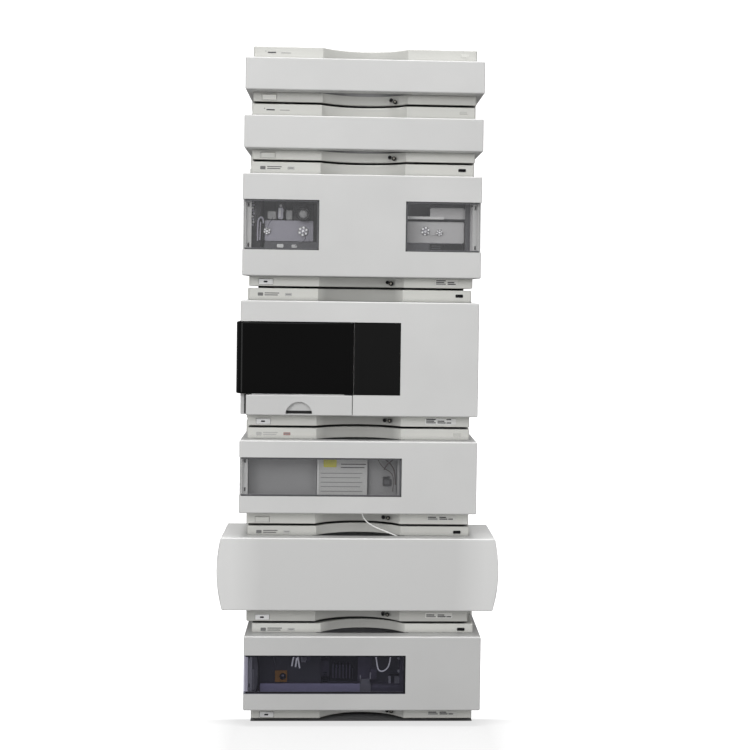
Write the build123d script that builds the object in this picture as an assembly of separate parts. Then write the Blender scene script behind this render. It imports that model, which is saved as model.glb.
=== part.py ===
from build123d import *
from collections import namedtuple
import math
import os

os.makedirs("parts", exist_ok=True)

# A stack of seven laboratory instruments for liquid chromatography.
# X is to the right, -Y is the front, +Z is up. The origin is the middle
# of the footprint, on the bench. All sizes are in millimetres.

# ---- cabinet ----
CASE_W = 345.0          # full width of a cabinet and of its front cover
CASE_D = 435.0          # from the cover's face to the rear edge
STRIP_W = CASE_W - 19.0         # base and lid in front of the shoulder
STRIP_SET = 26.0        # cover's face to the strips above and below it
SHOULDER = 142.0        # cover's face to the full-width part
WALL = 3.0              # wall of the housings
CORNER_R = 3.0          # upright corners of base and lid
EDGE_R = 1.5            # rounded top and bottom edges
SEAT = 0.3              # play between a cover and the strips
REAR_SET = 6.0          # rear panel stands this far inside the walls
CHASSIS_W = STRIP_W - 14.0      # width of the inner chassis
SCOOP_W = 124.0         # recess in the middle of each strip
SCOOP_D = 30.0
BENCH_GAP = 4.0         # free height under the lowest instrument
GAP = 3.0               # free height between two instruments
FOOT_HALF = STRIP_W / 2 - 10.0  # rubber runners: half length, depth
FOOT_DEEP = 12.0
FOOT_FRONT = 34.0       # first runner starts this far behind the strip
FOOT_REAR = 45.0        # second one ends this far from the rear edge

# ---- front cover ----
COVER_T = 3.0
COVER_R = 2.0           # corners seen from the front
FACE_R = 1.8            # edge round the face
INNER_R = 0.6           # smallest corner inside a cover
WING = 139.0            # cover's face to the end of its side wings
FLANGE_D = 32.0         # depth of the top and bottom flange
NOTCH_D = 23.5          # depth of the flange inside the recess
NOTCH_W = 136.0
WING_FLANGE = STRIP_W / 2 - 3.0     # flange along a wing starts here
PAD_L = 34.0            # thumb pad on each wing
PAD_H = 15.0
PAD_DEEP = 0.9
PAD_AT = 98.0           # cover's face to the pad's middle

# ---- clear panes ----
PANE_T = 2.5
PANE_GAP = 0.2          # play round a pane
LEDGE = 2.5             # a pane rests on a ledge this wide
LEDGE_T = 1.5
WRAP = 17.0             # a pane wraps this far round the corner
RETURN_W = 8.5          # inward rib behind the wrapped pane
WIN_L = -62.5           # pump: inner edges of the two windows
WIN_R = 62.5
PUMP_WIN = (52.4, 124.8)       # heights above the instrument's base
DET_WIN_R = 63.0        # detectors: right edge of the window
DET_WIN = (43.8, 100.2)

# ---- power button, lamp, drain ----
BUTTON_X = 23.5 - STRIP_W / 2
BUTTON_W = 20.5
BUTTON_H = 7.8
BUTTON_Z = 6.3          # its middle above the base's underside
BUTTON_OUT = 1.6
BUTTON_L = 9.0
BUTTON_TRAVEL = 2.5
BUTTON_PLAY = 0.3
LAMP_X = STRIP_W / 2 - 18.0
LAMP_W = 11.0
LAMP_H = 4.3
LAMP_DROP = 8.1         # its middle below the lid's top
LAMP_OUT = 0.5
DRAIN_X = 38.0
DRAIN_Z = 7.6
DRAIN_R = 2.4
DRAIN_BORE = 1.5
DRAIN_L = 16.0

# ---- autosampler door ----
DOOR_OUT = 6.0          # door stands this far outside the cover's side
DOOR_T = 3.0
DOOR_R = 11.0
DOOR_Z = (48.3, 152.3)
DOOR_X = -8.9           # its free edge
DOOR_GAP = 0.8
HINGE_D = 125.0         # cover's face to the hinge axis
BARREL_R = 4.0
PIVOT_R = 1.8
PIVOT_PLAY = 0.05
LUG_H = 5.0
FIXED_R = 59.0          # right edge of the fixed dark window
RAIL_X = (8.9 - CASE_W / 2, DOOR_X - 1.3)
RAIL_Z = (17.6, 46.8)
RAIL_T = 12.0
MOON_X = -87.0
MOON_R = 19.6
MOON_DEEP = 7.0

# ---- column oven ----
OVEN_W = CASE_W + 65.0
OVEN_TOP_W = OVEN_W - 11.0
OVEN_LOW_W = OVEN_W - 16.0
OVEN_D = 127.0

FRONT = -CASE_D / 2
REAR = CASE_D / 2
STRIP_Y = FRONT + STRIP_SET
SHOULDER_Y = FRONT + SHOULDER
REAR_Y = REAR - REAR_SET

# name, height, sideways shift in the stack, cover's lower edge above the
# base, cover's height, depth of the bay behind the cover's face
Module = namedtuple("Module", "name high shift low cover bay")
STACK = [
    Module("degasser_top", 80.0, 2.0, 14.0, 46.3, 60.0),
    Module("degasser_low", 81.0, 1.0, 14.2, 47.3, 60.0),
    Module("pump", 181.0, 0.0, 14.6, 147.5, 95.0),
    Module("sampler", 201.0, -1.5, 17.0, 166.0, 134.0),
    Module("detector_a", 141.0, -1.5, 19.0, 105.7, 95.0),
    Module("oven", 141.0, 0.0, 21.5, 105.7, 95.0),
    Module("detector_b", 141.0, 8.0, 19.5, 108.2, 95.0),
]
MODULE = {m.name: m for m in STACK}


def floor_of(module):
    """Height of an instrument's base above the bench."""
    below = STACK[STACK.index(module) + 1:]
    return BENCH_GAP + sum(m.high + GAP for m in below)


def block(x0, x1, y0, y1, z0, z1):
    """A box between two corners."""
    middle = ((x0 + x1) / 2, (y0 + y1) / 2, (z0 + z1) / 2)
    return Pos(*middle) * Box(x1 - x0, y1 - y0, z1 - z0)


def rod_y(x, y0, y1, z, radius):
    """A round bar that runs front to back."""
    turned = Rot(90, 0, 0) * Cylinder(radius, y1 - y0)
    return Pos(x, (y0 + y1) / 2, z) * turned


def rod_z(x, y, z0, z1, radius):
    """A round bar that stands upright."""
    return Pos(x, y, (z0 + z1) / 2) * Cylinder(radius, z1 - z0)


def rod_x(x0, x1, y, z, radius):
    """A round bar that runs from left to right."""
    turned = Rot(0, 90, 0) * Cylinder(radius, x1 - x0)
    return Pos((x0 + x1) / 2, y, z) * turned


def put(module, shape):
    """Move a shape from its instrument's own frame into the stack."""
    return Pos(module.shift, 0, floor_of(module)) * shape


NODES = {}


def keep(name, shape):
    """Remember a piece, and write it to its own file."""
    NODES[name] = shape
    export_step(Compound(children=list(shape.solids())), f"parts/{name}.step")


# ---- heights worked out from the covers ----
def base_high(m):
    return m.low - SEAT


def lid_high(m):
    return m.high - m.low - m.cover - SEAT


def chassis_y(m):
    return FRONT + m.bay


# ---- base and lid ----
def scoop_circle():
    """The round cutter of the recess, seen from above."""
    half = SCOOP_W / 2
    radius = (half ** 2 + SCOOP_D ** 2) / (2 * SCOOP_D)
    return Pos(0, STRIP_Y + SCOOP_D - radius) * Circle(radius)


def scoop_depth(x):
    """How far the recess reaches behind the strip at one place."""
    half = SCOOP_W / 2
    radius = (half ** 2 + SCOOP_D ** 2) / (2 * SCOOP_D)
    return SCOOP_D - radius + math.sqrt(radius ** 2 - x ** 2)


def deck_plan():
    """Base or lid from above: narrow front, wide rear, recess."""
    front_len = SHOULDER_Y - STRIP_Y
    rear_len = REAR - SHOULDER_Y
    front = Pos(0, STRIP_Y + front_len / 2) * Rectangle(STRIP_W, front_len)
    rear = Pos(0, REAR - rear_len / 2) * Rectangle(CASE_W, rear_len)
    plan = front + rear
    corners = [
        v for v in plan.vertices()
        if abs(v.X) > CASE_W / 2 - 1 or v.Y < STRIP_Y + 1
    ]
    return fillet(corners, CORNER_R) - scoop_circle()


def make_housing(m):
    """Base tray with the lower strip, shoulders and side walls."""
    top = base_high(m)
    body = extrude(deck_plan(), top)
    lower = body.faces().sort_by(Axis.Z)[0]
    body = fillet(lower.outer_wire().edges(), EDGE_R)
    half = CASE_W / 2
    wall_top = m.high - lid_high(m)
    shell = block(-half, half, SHOULDER_Y, REAR, top, wall_top)
    corners = shell.edges().filter_by(Axis.Z)
    shell = fillet(corners, CORNER_R)
    inner = half - WALL
    shell -= block(-inner, inner, SHOULDER_Y + WALL, REAR + 1,
                   top - 1, wall_top + 1)
    mid = CHASSIS_W / 2
    shell -= block(-mid, mid, SHOULDER_Y - 1, REAR, top - 1, wall_top + 1)
    body += shell
    # leak pan in the floor of the bay
    pan_back = chassis_y(m) - 3
    pan_front = STRIP_Y + SCOOP_D + 5
    if pan_back - pan_front > 8:
        body -= block(-mid + 14, mid - 14, pan_front, pan_back,
                      top - 3, top + 1)
    # slot for the power button, drain bores
    play = BUTTON_PLAY
    body -= block(BUTTON_X - BUTTON_W / 2 - play,
                  BUTTON_X + BUTTON_W / 2 + play,
                  STRIP_Y - 1, STRIP_Y + BUTTON_L + BUTTON_TRAVEL,
                  BUTTON_Z - BUTTON_H / 2 - play,
                  BUTTON_Z + BUTTON_H / 2 + play)
    wall_y = STRIP_Y + scoop_depth(DRAIN_X)
    body -= rod_y(DRAIN_X, wall_y - 8, wall_y + DRAIN_L / 2, DRAIN_Z,
                  DRAIN_R + 0.05)
    body -= rod_y(DRAIN_X + 7.5, wall_y - 14, wall_y + 4, DRAIN_Z - 2.6,
                  DRAIN_R * 0.6)
    return put(m, body)


def make_lid(m):
    """Top deck with the upper strip."""
    high = lid_high(m)
    body = Pos(0, 0, m.high - high) * extrude(deck_plan(), high)
    upper = body.faces().sort_by(Axis.Z)[-1]
    body = fillet(upper.outer_wire().edges(), EDGE_R)
    z = m.high - LAMP_DROP
    body -= block(LAMP_X - LAMP_W / 2, LAMP_X + LAMP_W / 2,
                  STRIP_Y - 1, STRIP_Y + 5, z - LAMP_H / 2, z + LAMP_H / 2)
    return put(m, body)


def make_lamp(m):
    """Lens of the status lamp, let into the upper strip."""
    z = m.high - LAMP_DROP
    lens = block(LAMP_X - LAMP_W / 2, LAMP_X + LAMP_W / 2,
                 STRIP_Y - LAMP_OUT, STRIP_Y + 5,
                 z - LAMP_H / 2, z + LAMP_H / 2)
    face = lens.faces().sort_by(Axis.Y)[0]
    return put(m, fillet(face.edges(), LAMP_OUT * 0.8))


def make_button(m):
    """Power button: a cap with a stem behind it."""
    cap = block(BUTTON_X - BUTTON_W / 2, BUTTON_X + BUTTON_W / 2,
                STRIP_Y - BUTTON_OUT, STRIP_Y + BUTTON_L,
                BUTTON_Z - BUTTON_H / 2, BUTTON_Z + BUTTON_H / 2)
    face = cap.faces().sort_by(Axis.Y)[0]
    cap = fillet(face.edges(), 0.8)
    return put(m, cap)


def make_drain(m):
    """Waste outlet: a short pipe in the recess of the lower strip."""
    wall_y = STRIP_Y + scoop_depth(DRAIN_X)
    pipe = rod_y(DRAIN_X, wall_y - DRAIN_L / 2, wall_y + DRAIN_L / 2,
                 DRAIN_Z, DRAIN_R)
    pipe -= rod_y(DRAIN_X, wall_y - DRAIN_L, wall_y + 2, DRAIN_Z,
                  DRAIN_BORE)
    return put(m, pipe)


# ---- rear panel ----
INLET_X = 38.0 - CHASSIS_W / 2
INLET_W = 28.0
INLET_H = 21.0
INLET_L = 14.0
INLET_UP = 16.0         # inlet's middle above the chassis's lower edge
PORT_W = 31.0
PORT_H = 11.0
PORT_L = 10.0
PORT_STEP = 40.0
PORT_X = [CHASSIS_W / 2 - 46.0 - i * PORT_STEP for i in (2, 1, 0)]
VENT_W = 4.0
VENT_STEP = 9.0
VENT_X = -76.0
VENT_COUNT = 10
VENT_DEEP = 4.0


def make_chassis(m):
    """Sheet metal box that holds the works, with the rear panel."""
    low = base_high(m)
    top = m.high - lid_high(m)
    half = CHASSIS_W / 2
    body = block(-half, half, chassis_y(m), REAR_Y, low, top)
    upright = body.edges().filter_by(Axis.Z).group_by(Axis.Y)[0]
    body = fillet(upright, 3)
    z = low + INLET_UP
    body -= block(INLET_X - INLET_W / 2, INLET_X + INLET_W / 2,
                  REAR_Y - INLET_L, REAR + 1, z - INLET_H / 2, z + INLET_H / 2)
    for x in PORT_X:
        body -= block(x - PORT_W / 2, x + PORT_W / 2,
                      REAR_Y - PORT_L, REAR + 1,
                      z - PORT_H / 2, z + PORT_H / 2)
    vent_low = z - 9
    vent_top = min(top - 8, z + 60)
    for i in range(VENT_COUNT):
        x = VENT_X + i * VENT_STEP
        body -= block(x, x + VENT_W, REAR_Y - VENT_DEEP, REAR + 1,
                      vent_low, vent_top)
    mid = (low + top) / 2
    if m.high < 100:
        for i in range(4):
            x = -96 + i * 64
            body += rod_y(x, chassis_y(m) - 9, chassis_y(m), mid, 6)
            body -= rod_y(x, chassis_y(m) - 10, chassis_y(m) - 3, mid, 1.6)
    return put(m, body)


def make_inlet(m):
    """Mains inlet with its three pins."""
    z = base_high(m) + INLET_UP
    body = block(INLET_X - INLET_W / 2, INLET_X + INLET_W / 2,
                 REAR_Y - INLET_L, REAR_Y + 2,
                 z - INLET_H / 2, z + INLET_H / 2)
    body -= block(INLET_X - 12, INLET_X + 12, REAR_Y - 12, REAR_Y + 3,
                  z - 8, z + 8)
    for dx, dz in ((-7, -1.5), (0, 2.5), (7, -1.5)):
        body += block(INLET_X + dx - 1, INLET_X + dx + 1,
                      REAR_Y - 12.5, REAR_Y - 1, z + dz - 2, z + dz + 2)
    return put(m, body)


def make_ports(m):
    """Data sockets: a shell with a raised insert."""
    z = base_high(m) + INLET_UP
    group = []
    for x in PORT_X:
        shell = block(x - PORT_W / 2, x + PORT_W / 2,
                      REAR_Y - PORT_L, REAR_Y + 3,
                      z - PORT_H / 2, z + PORT_H / 2)
        shell -= block(x - 9, x + 9, REAR_Y - 4, REAR_Y + 4, z - 4, z + 4)
        shell += block(x - 7.6, x + 7.6, REAR_Y - 4.5, REAR_Y + 2,
                       z - 2.4, z + 2.4)
        group.append(put(m, shell))
    return group


def make_feet(m):
    """Two rubber runners that lie across the base."""
    high = BENCH_GAP if m is STACK[-1] else GAP
    feet = []
    for y in (STRIP_Y + FOOT_FRONT, REAR - FOOT_REAR - FOOT_DEEP):
        foot = block(-FOOT_HALF, FOOT_HALF, y, y + FOOT_DEEP, -high, 0)
        foot = fillet(foot.edges().filter_by(Axis.Z), FOOT_DEEP * 0.4)
        rim = foot.faces().sort_by(Axis.Z)[0]
        feet.append(put(m, chamfer(rim.edges(), 0.6)))
    return feet


# ---- front covers ----
def rounded_box(x0, x1, y0, y1, z0, z1, side_r, face_r):
    """A box with rounded corners and a rounded edge round its face."""
    body = block(x0, x1, y0, y1, z0, z1)
    body = fillet(body.edges().filter_by(Axis.Y), side_r)
    face = body.faces().sort_by(Axis.Y)[0]
    return fillet(face.edges(), face_r)


def cover_skin(m, inset):
    """The cover's outside, or the same form set inwards."""
    half = CASE_W / 2 - inset
    return rounded_box(-half, half, FRONT + inset, FRONT + WING + 1,
                       m.low + inset, m.low + m.cover - inset,
                       max(COVER_R - inset, INNER_R),
                       max(FACE_R - inset, INNER_R - 0.1))


def thumb_pads(half, z):
    """Cutters for the shallow pads that fingers squeeze."""
    pads = Part()
    plan = SlotOverall(PAD_L, PAD_H)
    for side in (-1, 1):
        pad = Rot(0, 90, 0) * extrude(Rot(0, 0, 90) * plan, 1, both=True)
        at = side * (half + 1 - PAD_DEEP)
        pads += Pos(at, FRONT + PAD_AT, z) * pad
    return pads


def hollow_cover(m):
    """Face, side wings and flanges, still without any window."""
    back = FRONT + WING
    body = cover_skin(m, 0) - cover_skin(m, COVER_T)
    far = CASE_W
    body -= block(-far, far, back, back + 9, 0, m.high)
    body -= block(-WING_FLANGE, WING_FLANGE, FRONT + FLANGE_D, back + 1,
                  0, m.high)
    body -= block(-NOTCH_W / 2, NOTCH_W / 2, FRONT + NOTCH_D,
                  FRONT + FLANGE_D + 1, 0, m.high)
    mid = m.low + m.cover / 2
    return body - thumb_pads(CASE_W / 2, mid)


def pane_region(x0, x1, z0, z1, grow, deep=WRAP):
    """Box that a wrapped window covers; grow moves every edge."""
    half = CASE_W / 2
    left = x0 - grow if x0 > -half else -half - 9
    right = x1 + grow if x1 < half else half + 9
    return block(left, right, FRONT - 9, FRONT + deep + grow,
                 z0 - grow, z1 + grow)


def cut_window(body, m, x0, x1, z0, z1):
    """Cut one window, and leave the ledge that the pane rests on."""
    opening = pane_region(x0, x1, z0, z1, 0)
    around = pane_region(x0, x1, z0, z1, 2.5)
    inside = pane_region(x0, x1, z0, z1, -LEDGE)
    ring = cover_skin(m, PANE_T) - cover_skin(m, PANE_T + LEDGE_T)
    ledge = (ring & around) - inside
    return (body - opening) + ledge


def make_pane(m, x0, x1, z0, z1):
    """Clear pane of one window, with the cover's own curve."""
    skin = cover_skin(m, 0) - cover_skin(m, PANE_T)
    return skin & pane_region(x0, x1, z0, z1, -PANE_GAP)


def wing_return(m, side, z0, z1):
    """Inward rib at the rear of a wrapped window, with two slots."""
    half = CASE_W / 2 - COVER_T
    y0 = FRONT + WRAP + 2.5
    x0, x1 = sorted((side * (half + 0.5), side * (half - RETURN_W)))
    rib = block(x0, x1, y0, y0 + 2, z0 - 2, z1 + 2)
    middle = side * (half - RETURN_W / 2)
    for z in (z0 + 7, z1 - 7):
        rib -= block(middle - 1.2, middle + 1.2, y0 - 1, y0 + 3,
                     z - 3, z + 3)
    return rib


def make_plain_cover(m):
    return put(m, hollow_cover(m))


def make_pump_cover(m):
    half = CASE_W / 2
    body = hollow_cover(m)
    for x0, x1, side in ((-half, WIN_L, -1), (WIN_R, half, 1)):
        body = cut_window(body, m, x0, x1, *PUMP_WIN)
        body += wing_return(m, side, *PUMP_WIN)
    return put(m, body)


def make_pump_panes(m):
    half = CASE_W / 2
    return [put(m, make_pane(m, -half, WIN_L, *PUMP_WIN)),
            put(m, make_pane(m, WIN_R, half, *PUMP_WIN))]


def make_detector_cover(m):
    body = hollow_cover(m)
    body = cut_window(body, m, -CASE_W / 2, DET_WIN_R, *DET_WIN)
    body += wing_return(m, -1, *DET_WIN)
    return put(m, body)


def make_detector_pane(m):
    return put(m, make_pane(m, -CASE_W / 2, DET_WIN_R, *DET_WIN))


# ---- autosampler front ----
HINGE_X = -CASE_W / 2 - DOOR_OUT + BARREL_R
HINGE_Y = FRONT + HINGE_D
LUG_Z = (DOOR_Z[0] + 1.0, DOOR_Z[1] - 1.0 - LUG_H)


def make_sampler_cover(m):
    """Cover with the door opening, the fixed window and hinge lugs."""
    half = CASE_W / 2
    z0 = DOOR_Z[0] - DOOR_GAP
    z1 = DOOR_Z[1] + DOOR_GAP
    body = hollow_cover(m)
    back = HINGE_Y + BARREL_R + 3
    body -= block(-half - 9, FIXED_R + PANE_GAP, FRONT - 9, FRONT + 30,
                  z0, z1)
    body -= block(-half - 9, -half + 20, FRONT, back, z0, z1)
    body -= block(-half - 9, RAIL_X[1] + DOOR_GAP, FRONT - 9,
                  FRONT + RAIL_T + 2, 0, z0 + 1)
    # upright between door and fixed window, and ledges for that window
    y0 = FRONT + DOOR_T
    left = DOOR_X + DOOR_GAP
    body += block(DOOR_X - 5, left, y0 + SEAT, y0 + 3, z0 + 1, z1 + 3)
    body += block(left, DOOR_X + 7, y0, y0 + 3, z0 - 3, z1 + 3)
    body += block(left, FIXED_R + 4, y0, y0 + 2, z0 - 4, z0 + 3)
    body += block(left, FIXED_R + 4, y0, y0 + 2, z1 - 3, z1 + 4)
    body += block(FIXED_R - 3, FIXED_R + 4, y0, y0 + 2, z0 - 4, z1 + 4)
    # rib along the left edge beside the finger rail
    y1 = FRONT + RAIL_T + 2
    body += block(-half + 1, -half + 6.5, y1, y1 + 3, m.low + 1, z0)
    for z in LUG_Z:
        lug = rod_z(HINGE_X, HINGE_Y, z, z + LUG_H, BARREL_R)
        lug += block(HINGE_X, -half + COVER_T, HINGE_Y - BARREL_R,
                     back + 8, z, z + LUG_H)
        lug += block(-half, -half + COVER_T, HINGE_Y, back + 8, z,
                     z + LUG_H)
        body += lug
        body -= rod_z(HINGE_X, HINGE_Y, z - 1, z + LUG_H + 1,
                      PIVOT_R + PIVOT_PLAY)
    return put(m, body)


def door_skin(inset):
    """Outside of the door before its free ends are cut."""
    left = -CASE_W / 2 - DOOR_OUT + inset
    low = DOOR_Z[0] + (inset and -1)
    top = DOOR_Z[1] + (inset and 1)
    body = block(left, 90, FRONT + inset, HINGE_Y + 30, low, top)
    upright = body.edges().filter_by(Axis.Z)
    corner = upright.group_by(Axis.Y)[0].sort_by(Axis.X)[0]
    return fillet(corner, DOOR_R - inset)


def make_door(m):
    """Smoked door: face, wrapped side and hinge barrel in one piece."""
    body = door_skin(0)
    ends = body.faces().sort_by(Axis.Z)
    rims = [e for e in ends[0].edges() + ends[-1].edges()
            if e.center().Y < HINGE_Y + 20 and e.center().X < 80]
    body = fillet(rims, DOOR_T * 0.7) - door_skin(DOOR_T)
    body = body & block(-CASE_W, DOOR_X, FRONT - 9, HINGE_Y + 1,
                        0, m.high)
    low = LUG_Z[0] + LUG_H + 0.3
    top = LUG_Z[1] - 0.3
    reach = HINGE_Y - BARREL_R - 1.0
    body -= block(-CASE_W, HINGE_X + 9, reach, HINGE_Y + 9, 0, low)
    body -= block(-CASE_W, HINGE_X + 9, reach, HINGE_Y + 9, top, m.high)
    body += rod_z(HINGE_X, HINGE_Y, low, top, BARREL_R)
    body += rod_z(HINGE_X, HINGE_Y, LUG_Z[0] + 0.5, low + 1, PIVOT_R)
    body += rod_z(HINGE_X, HINGE_Y, top - 1, LUG_Z[1] + LUG_H - 0.5,
                  PIVOT_R)
    return put(m, body)


def make_rail(m):
    """Light finger rail under the door, with a half-moon recess."""
    x0, x1 = RAIL_X
    z0, z1 = RAIL_Z
    body = block(x0, x1, FRONT, FRONT + RAIL_T, z0, z1)
    face = body.faces().sort_by(Axis.Y)[0]
    body = fillet(face.edges(), 1.2)
    moon = rod_y(MOON_X, FRONT - 1, FRONT + MOON_DEEP, z0, MOON_R)
    body -= moon & block(x0, x1, FRONT - 2, FRONT + 9, z0 + 2, z1)
    # hollow back and the tongue that carries the rail on the door
    body -= block(x0 + 3, MOON_X - MOON_R - 3, FRONT + 3,
                  FRONT + RAIL_T + 1, z0 + 3, z1 - 3)
    body -= block(MOON_X + MOON_R + 3, x1 - 3, FRONT + 3,
                  FRONT + RAIL_T + 1, z0 + 3, z1 - 3)
    body += block(x0 + 8, x1 - 12, FRONT + DOOR_T, FRONT + DOOR_T + 3,
                  z1 - 4, DOOR_Z[0] + 10)
    return put(m, body)


def make_fixed_window(m):
    """Dark window that stays shut, right of the door."""
    z0 = DOOR_Z[0] - DOOR_GAP + PANE_GAP
    z1 = DOOR_Z[1] + DOOR_GAP - PANE_GAP
    left = DOOR_X + DOOR_GAP
    pane = block(left, FIXED_R, FRONT, FRONT + DOOR_T, z0, z1)
    return put(m, pane)


# ---- column oven front ----
def oven_profile(m, inset):
    """The cover from the front: flat top and bottom, bowed sides."""
    low = m.low + inset
    top = m.low + m.cover - inset
    mid = (low + top) / 2
    at_top = OVEN_TOP_W / 2 - inset
    at_mid = OVEN_W / 2 - inset
    at_low = OVEN_LOW_W / 2 - inset
    sides = [
        Line((-at_top, top), (at_top, top)),
        ThreePointArc((at_top, top), (at_mid, mid), (at_low, low)),
        Line((at_low, low), (-at_low, low)),
        ThreePointArc((-at_low, low), (-at_mid, mid), (-at_top, top)),
    ]
    return make_face(Curve() + sides)


def oven_skin(m, inset, y1):
    length = y1 - FRONT - inset
    flat = Plane.XZ.offset(-FRONT - inset)
    body = extrude(flat * oven_profile(m, inset), -length)
    along = [e for e in body.edges().filter_by(Axis.Y)]
    body = fillet(along, max(COVER_R - inset, INNER_R))
    face = body.faces().sort_by(Axis.Y)[0]
    return fillet(face.edges(), max(FACE_R - inset, INNER_R - 0.1))


def make_oven_cover(m):
    """Wide cover with bowed sides and a rear return."""
    back = FRONT + OVEN_D
    body = oven_skin(m, 0, back) - oven_skin(m, COVER_T, back - COVER_T)
    half = STRIP_W / 2 + 1.5
    body -= block(-half, half, FRONT + FLANGE_D, back + 1, 0, m.high)
    body -= block(-NOTCH_W / 2, NOTCH_W / 2, FRONT + NOTCH_D,
                  FRONT + FLANGE_D + 1, 0, m.high)
    mid = m.low + m.cover / 2
    return put(m, body - thumb_pads(OVEN_W / 2, mid))


# ---- what stands in the bays ----
def screw_head(x, y, z, radius, high):
    """Socket screw head that faces the front."""
    head = rod_y(x, y - high, y, z, radius)
    head -= Pos(x, y - high, z) * (
        Rot(90, 0, 0) * extrude(RegularPolygon(radius * 0.5, 6), high / 2,
                                both=True))
    return head


PLATE_D = 40.0          # pump plates stand this far behind the face
PLATE_Z = (66.0, 95.0)
PLATE_EDGE = 23.5       # from the outer end of a plate to the wall
WORKS_L = 29.5 - CASE_W / 2     # outer ends of the two plates
WORKS_R = CASE_W / 2 - PLATE_EDGE
# each pump head: its middle, its height, the radius of its outlet valve
HEADS_L = [(WORKS_L + 3.6, 80.6, 4.4), (-86.6, 80.8, 7.4)]
HEADS_R = [(93.1, 83.0, 6.6), (113.9, 81.7, 3.8)]
DRIVE = 1.6             # a drive's radius against its outlet valve's


def make_pump_heads(m):
    """Two pump drives: plate, round heads, outlet valves and screws."""
    back = chassis_y(m)
    y = FRONT + PLATE_D
    group = []
    for x0, x1, heads in ((WORKS_L, WIN_L - 9.5, HEADS_L),
                          (WIN_R + 3.5, WORKS_R, HEADS_R)):
        mid = (x0 + x1) / 2
        plate = block(x0, x1, y, y + 8, *PLATE_Z)
        plate = fillet(plate.edges().filter_by(Axis.Y), 3)
        for x, z, valve in heads:
            plate += rod_y(x, y + 8, back, z, valve * DRIVE)
            plate += rod_y(x, y - 3, y, z, valve * 0.8)
            plate += screw_head(x, y - 3, z, valve * 0.5, 3)
        plate += block(mid - 6, mid + 6, y + 8, back, 70, 90)
        group.append(put(m, plate))
    return group


KNOB_X = -87.0
KNOB_Z = 106.0
KNOB_R = 10.5
SPINDLE_R = 3.0


def make_manifold(m):
    """Solvent inlet block, damper, mixer and the tray below them."""
    back = chassis_y(m)
    y = FRONT + PLATE_D
    left = WORKS_L - 17
    right = WORKS_R
    column = block(left, left + 12, y, back, 58, 128)
    for i in range(6):
        column += rod_y(left + 6, y - 5, y, 70 + i * 10, 2.6)
    purge = block(KNOB_X - 15, KNOB_X + 15, y + 8, back, 93, 122)
    purge += rod_y(KNOB_X, y + 3, y + 8, KNOB_Z, KNOB_R)
    purge -= rod_y(KNOB_X, y - 1, y + 22, KNOB_Z, SPINDLE_R + 0.05)
    damper = rod_z(-120, y + 14, 96, 124, 6)
    damper += block(-126, -114, y + 14, back, 96, 104)
    damper += block(-126, -114, y + 14, back, 112, 120)
    box = block(right - 50, right, y, back, 103, 122)
    box = fillet(box.edges().filter_by(Axis.Y), 2)
    shelf = block(WIN_R + 3.5, right + 3, y - 4, back, 98, 102)
    tray = block(left + 2, WIN_L, y - 6, back, 46, 50)
    tray += block(left + 2, WIN_L, y - 6, y - 3, 50, 55)
    drop = block(right - 50, right - 30, y + 2, back, 38, 56)
    pieces = [column, purge, damper, box, shelf, tray, drop]
    return [put(m, p) for p in pieces]


def make_knob(m):
    """Purge valve knob: fluted rim, stepped face, spindle."""
    y = FRONT + PLATE_D
    body = rod_y(KNOB_X, y - 11, y + 2.6, KNOB_Z, KNOB_R)
    face = body.edges().sort_by(Axis.Y)[0]
    body = chamfer(face, 1.2)
    for i in range(12):
        turn = math.radians(i * 30)
        body -= rod_y(KNOB_X + (KNOB_R + 0.6) * math.cos(turn), y - 12,
                      y - 1, KNOB_Z + (KNOB_R + 0.6) * math.sin(turn), 1.5)
    body -= rod_y(KNOB_X, y - 12, y - 9, KNOB_Z, 5)
    body += rod_y(KNOB_X, y, y + 20, KNOB_Z, SPINDLE_R)
    return put(m, body)


def make_optics_a(m):
    """Lamp house, optical block and flow cell of the first detector."""
    back = chassis_y(m)
    y = FRONT + 46.0
    left = 22.5 - CASE_W / 2
    lamp = block(left, -61, y, back, 24, 112)
    lamp = fillet(lamp.edges().filter_by(Axis.Y), 3)
    for i in range(6):
        z = 40 + i * 10
        lamp -= block(left + 10, -72, y - 1, y + 3, z, z + 4)
    unit = block(-60, 14, FRONT + 34, back, 30, 106)
    cell = block(20, 64, FRONT + 56, back, 28, 104)
    cell = fillet(cell.edges().filter_by(Axis.Y), 2)
    cell += block(37, 47, FRONT + 44, FRONT + 56, 55, 68)
    cell += rod_y(30, FRONT + 46, FRONT + 56, 88, 4)
    cell += rod_y(52, FRONT + 46, FRONT + 56, 94, 4)
    return [put(m, lamp), put(m, unit), put(m, cell)]


CARD_T = 2.0


def make_card(m):
    """Card on the front of the optical block."""
    y = FRONT + 34
    return put(m, block(-58, 13.5, y - CARD_T, y, 38, 98))


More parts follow.
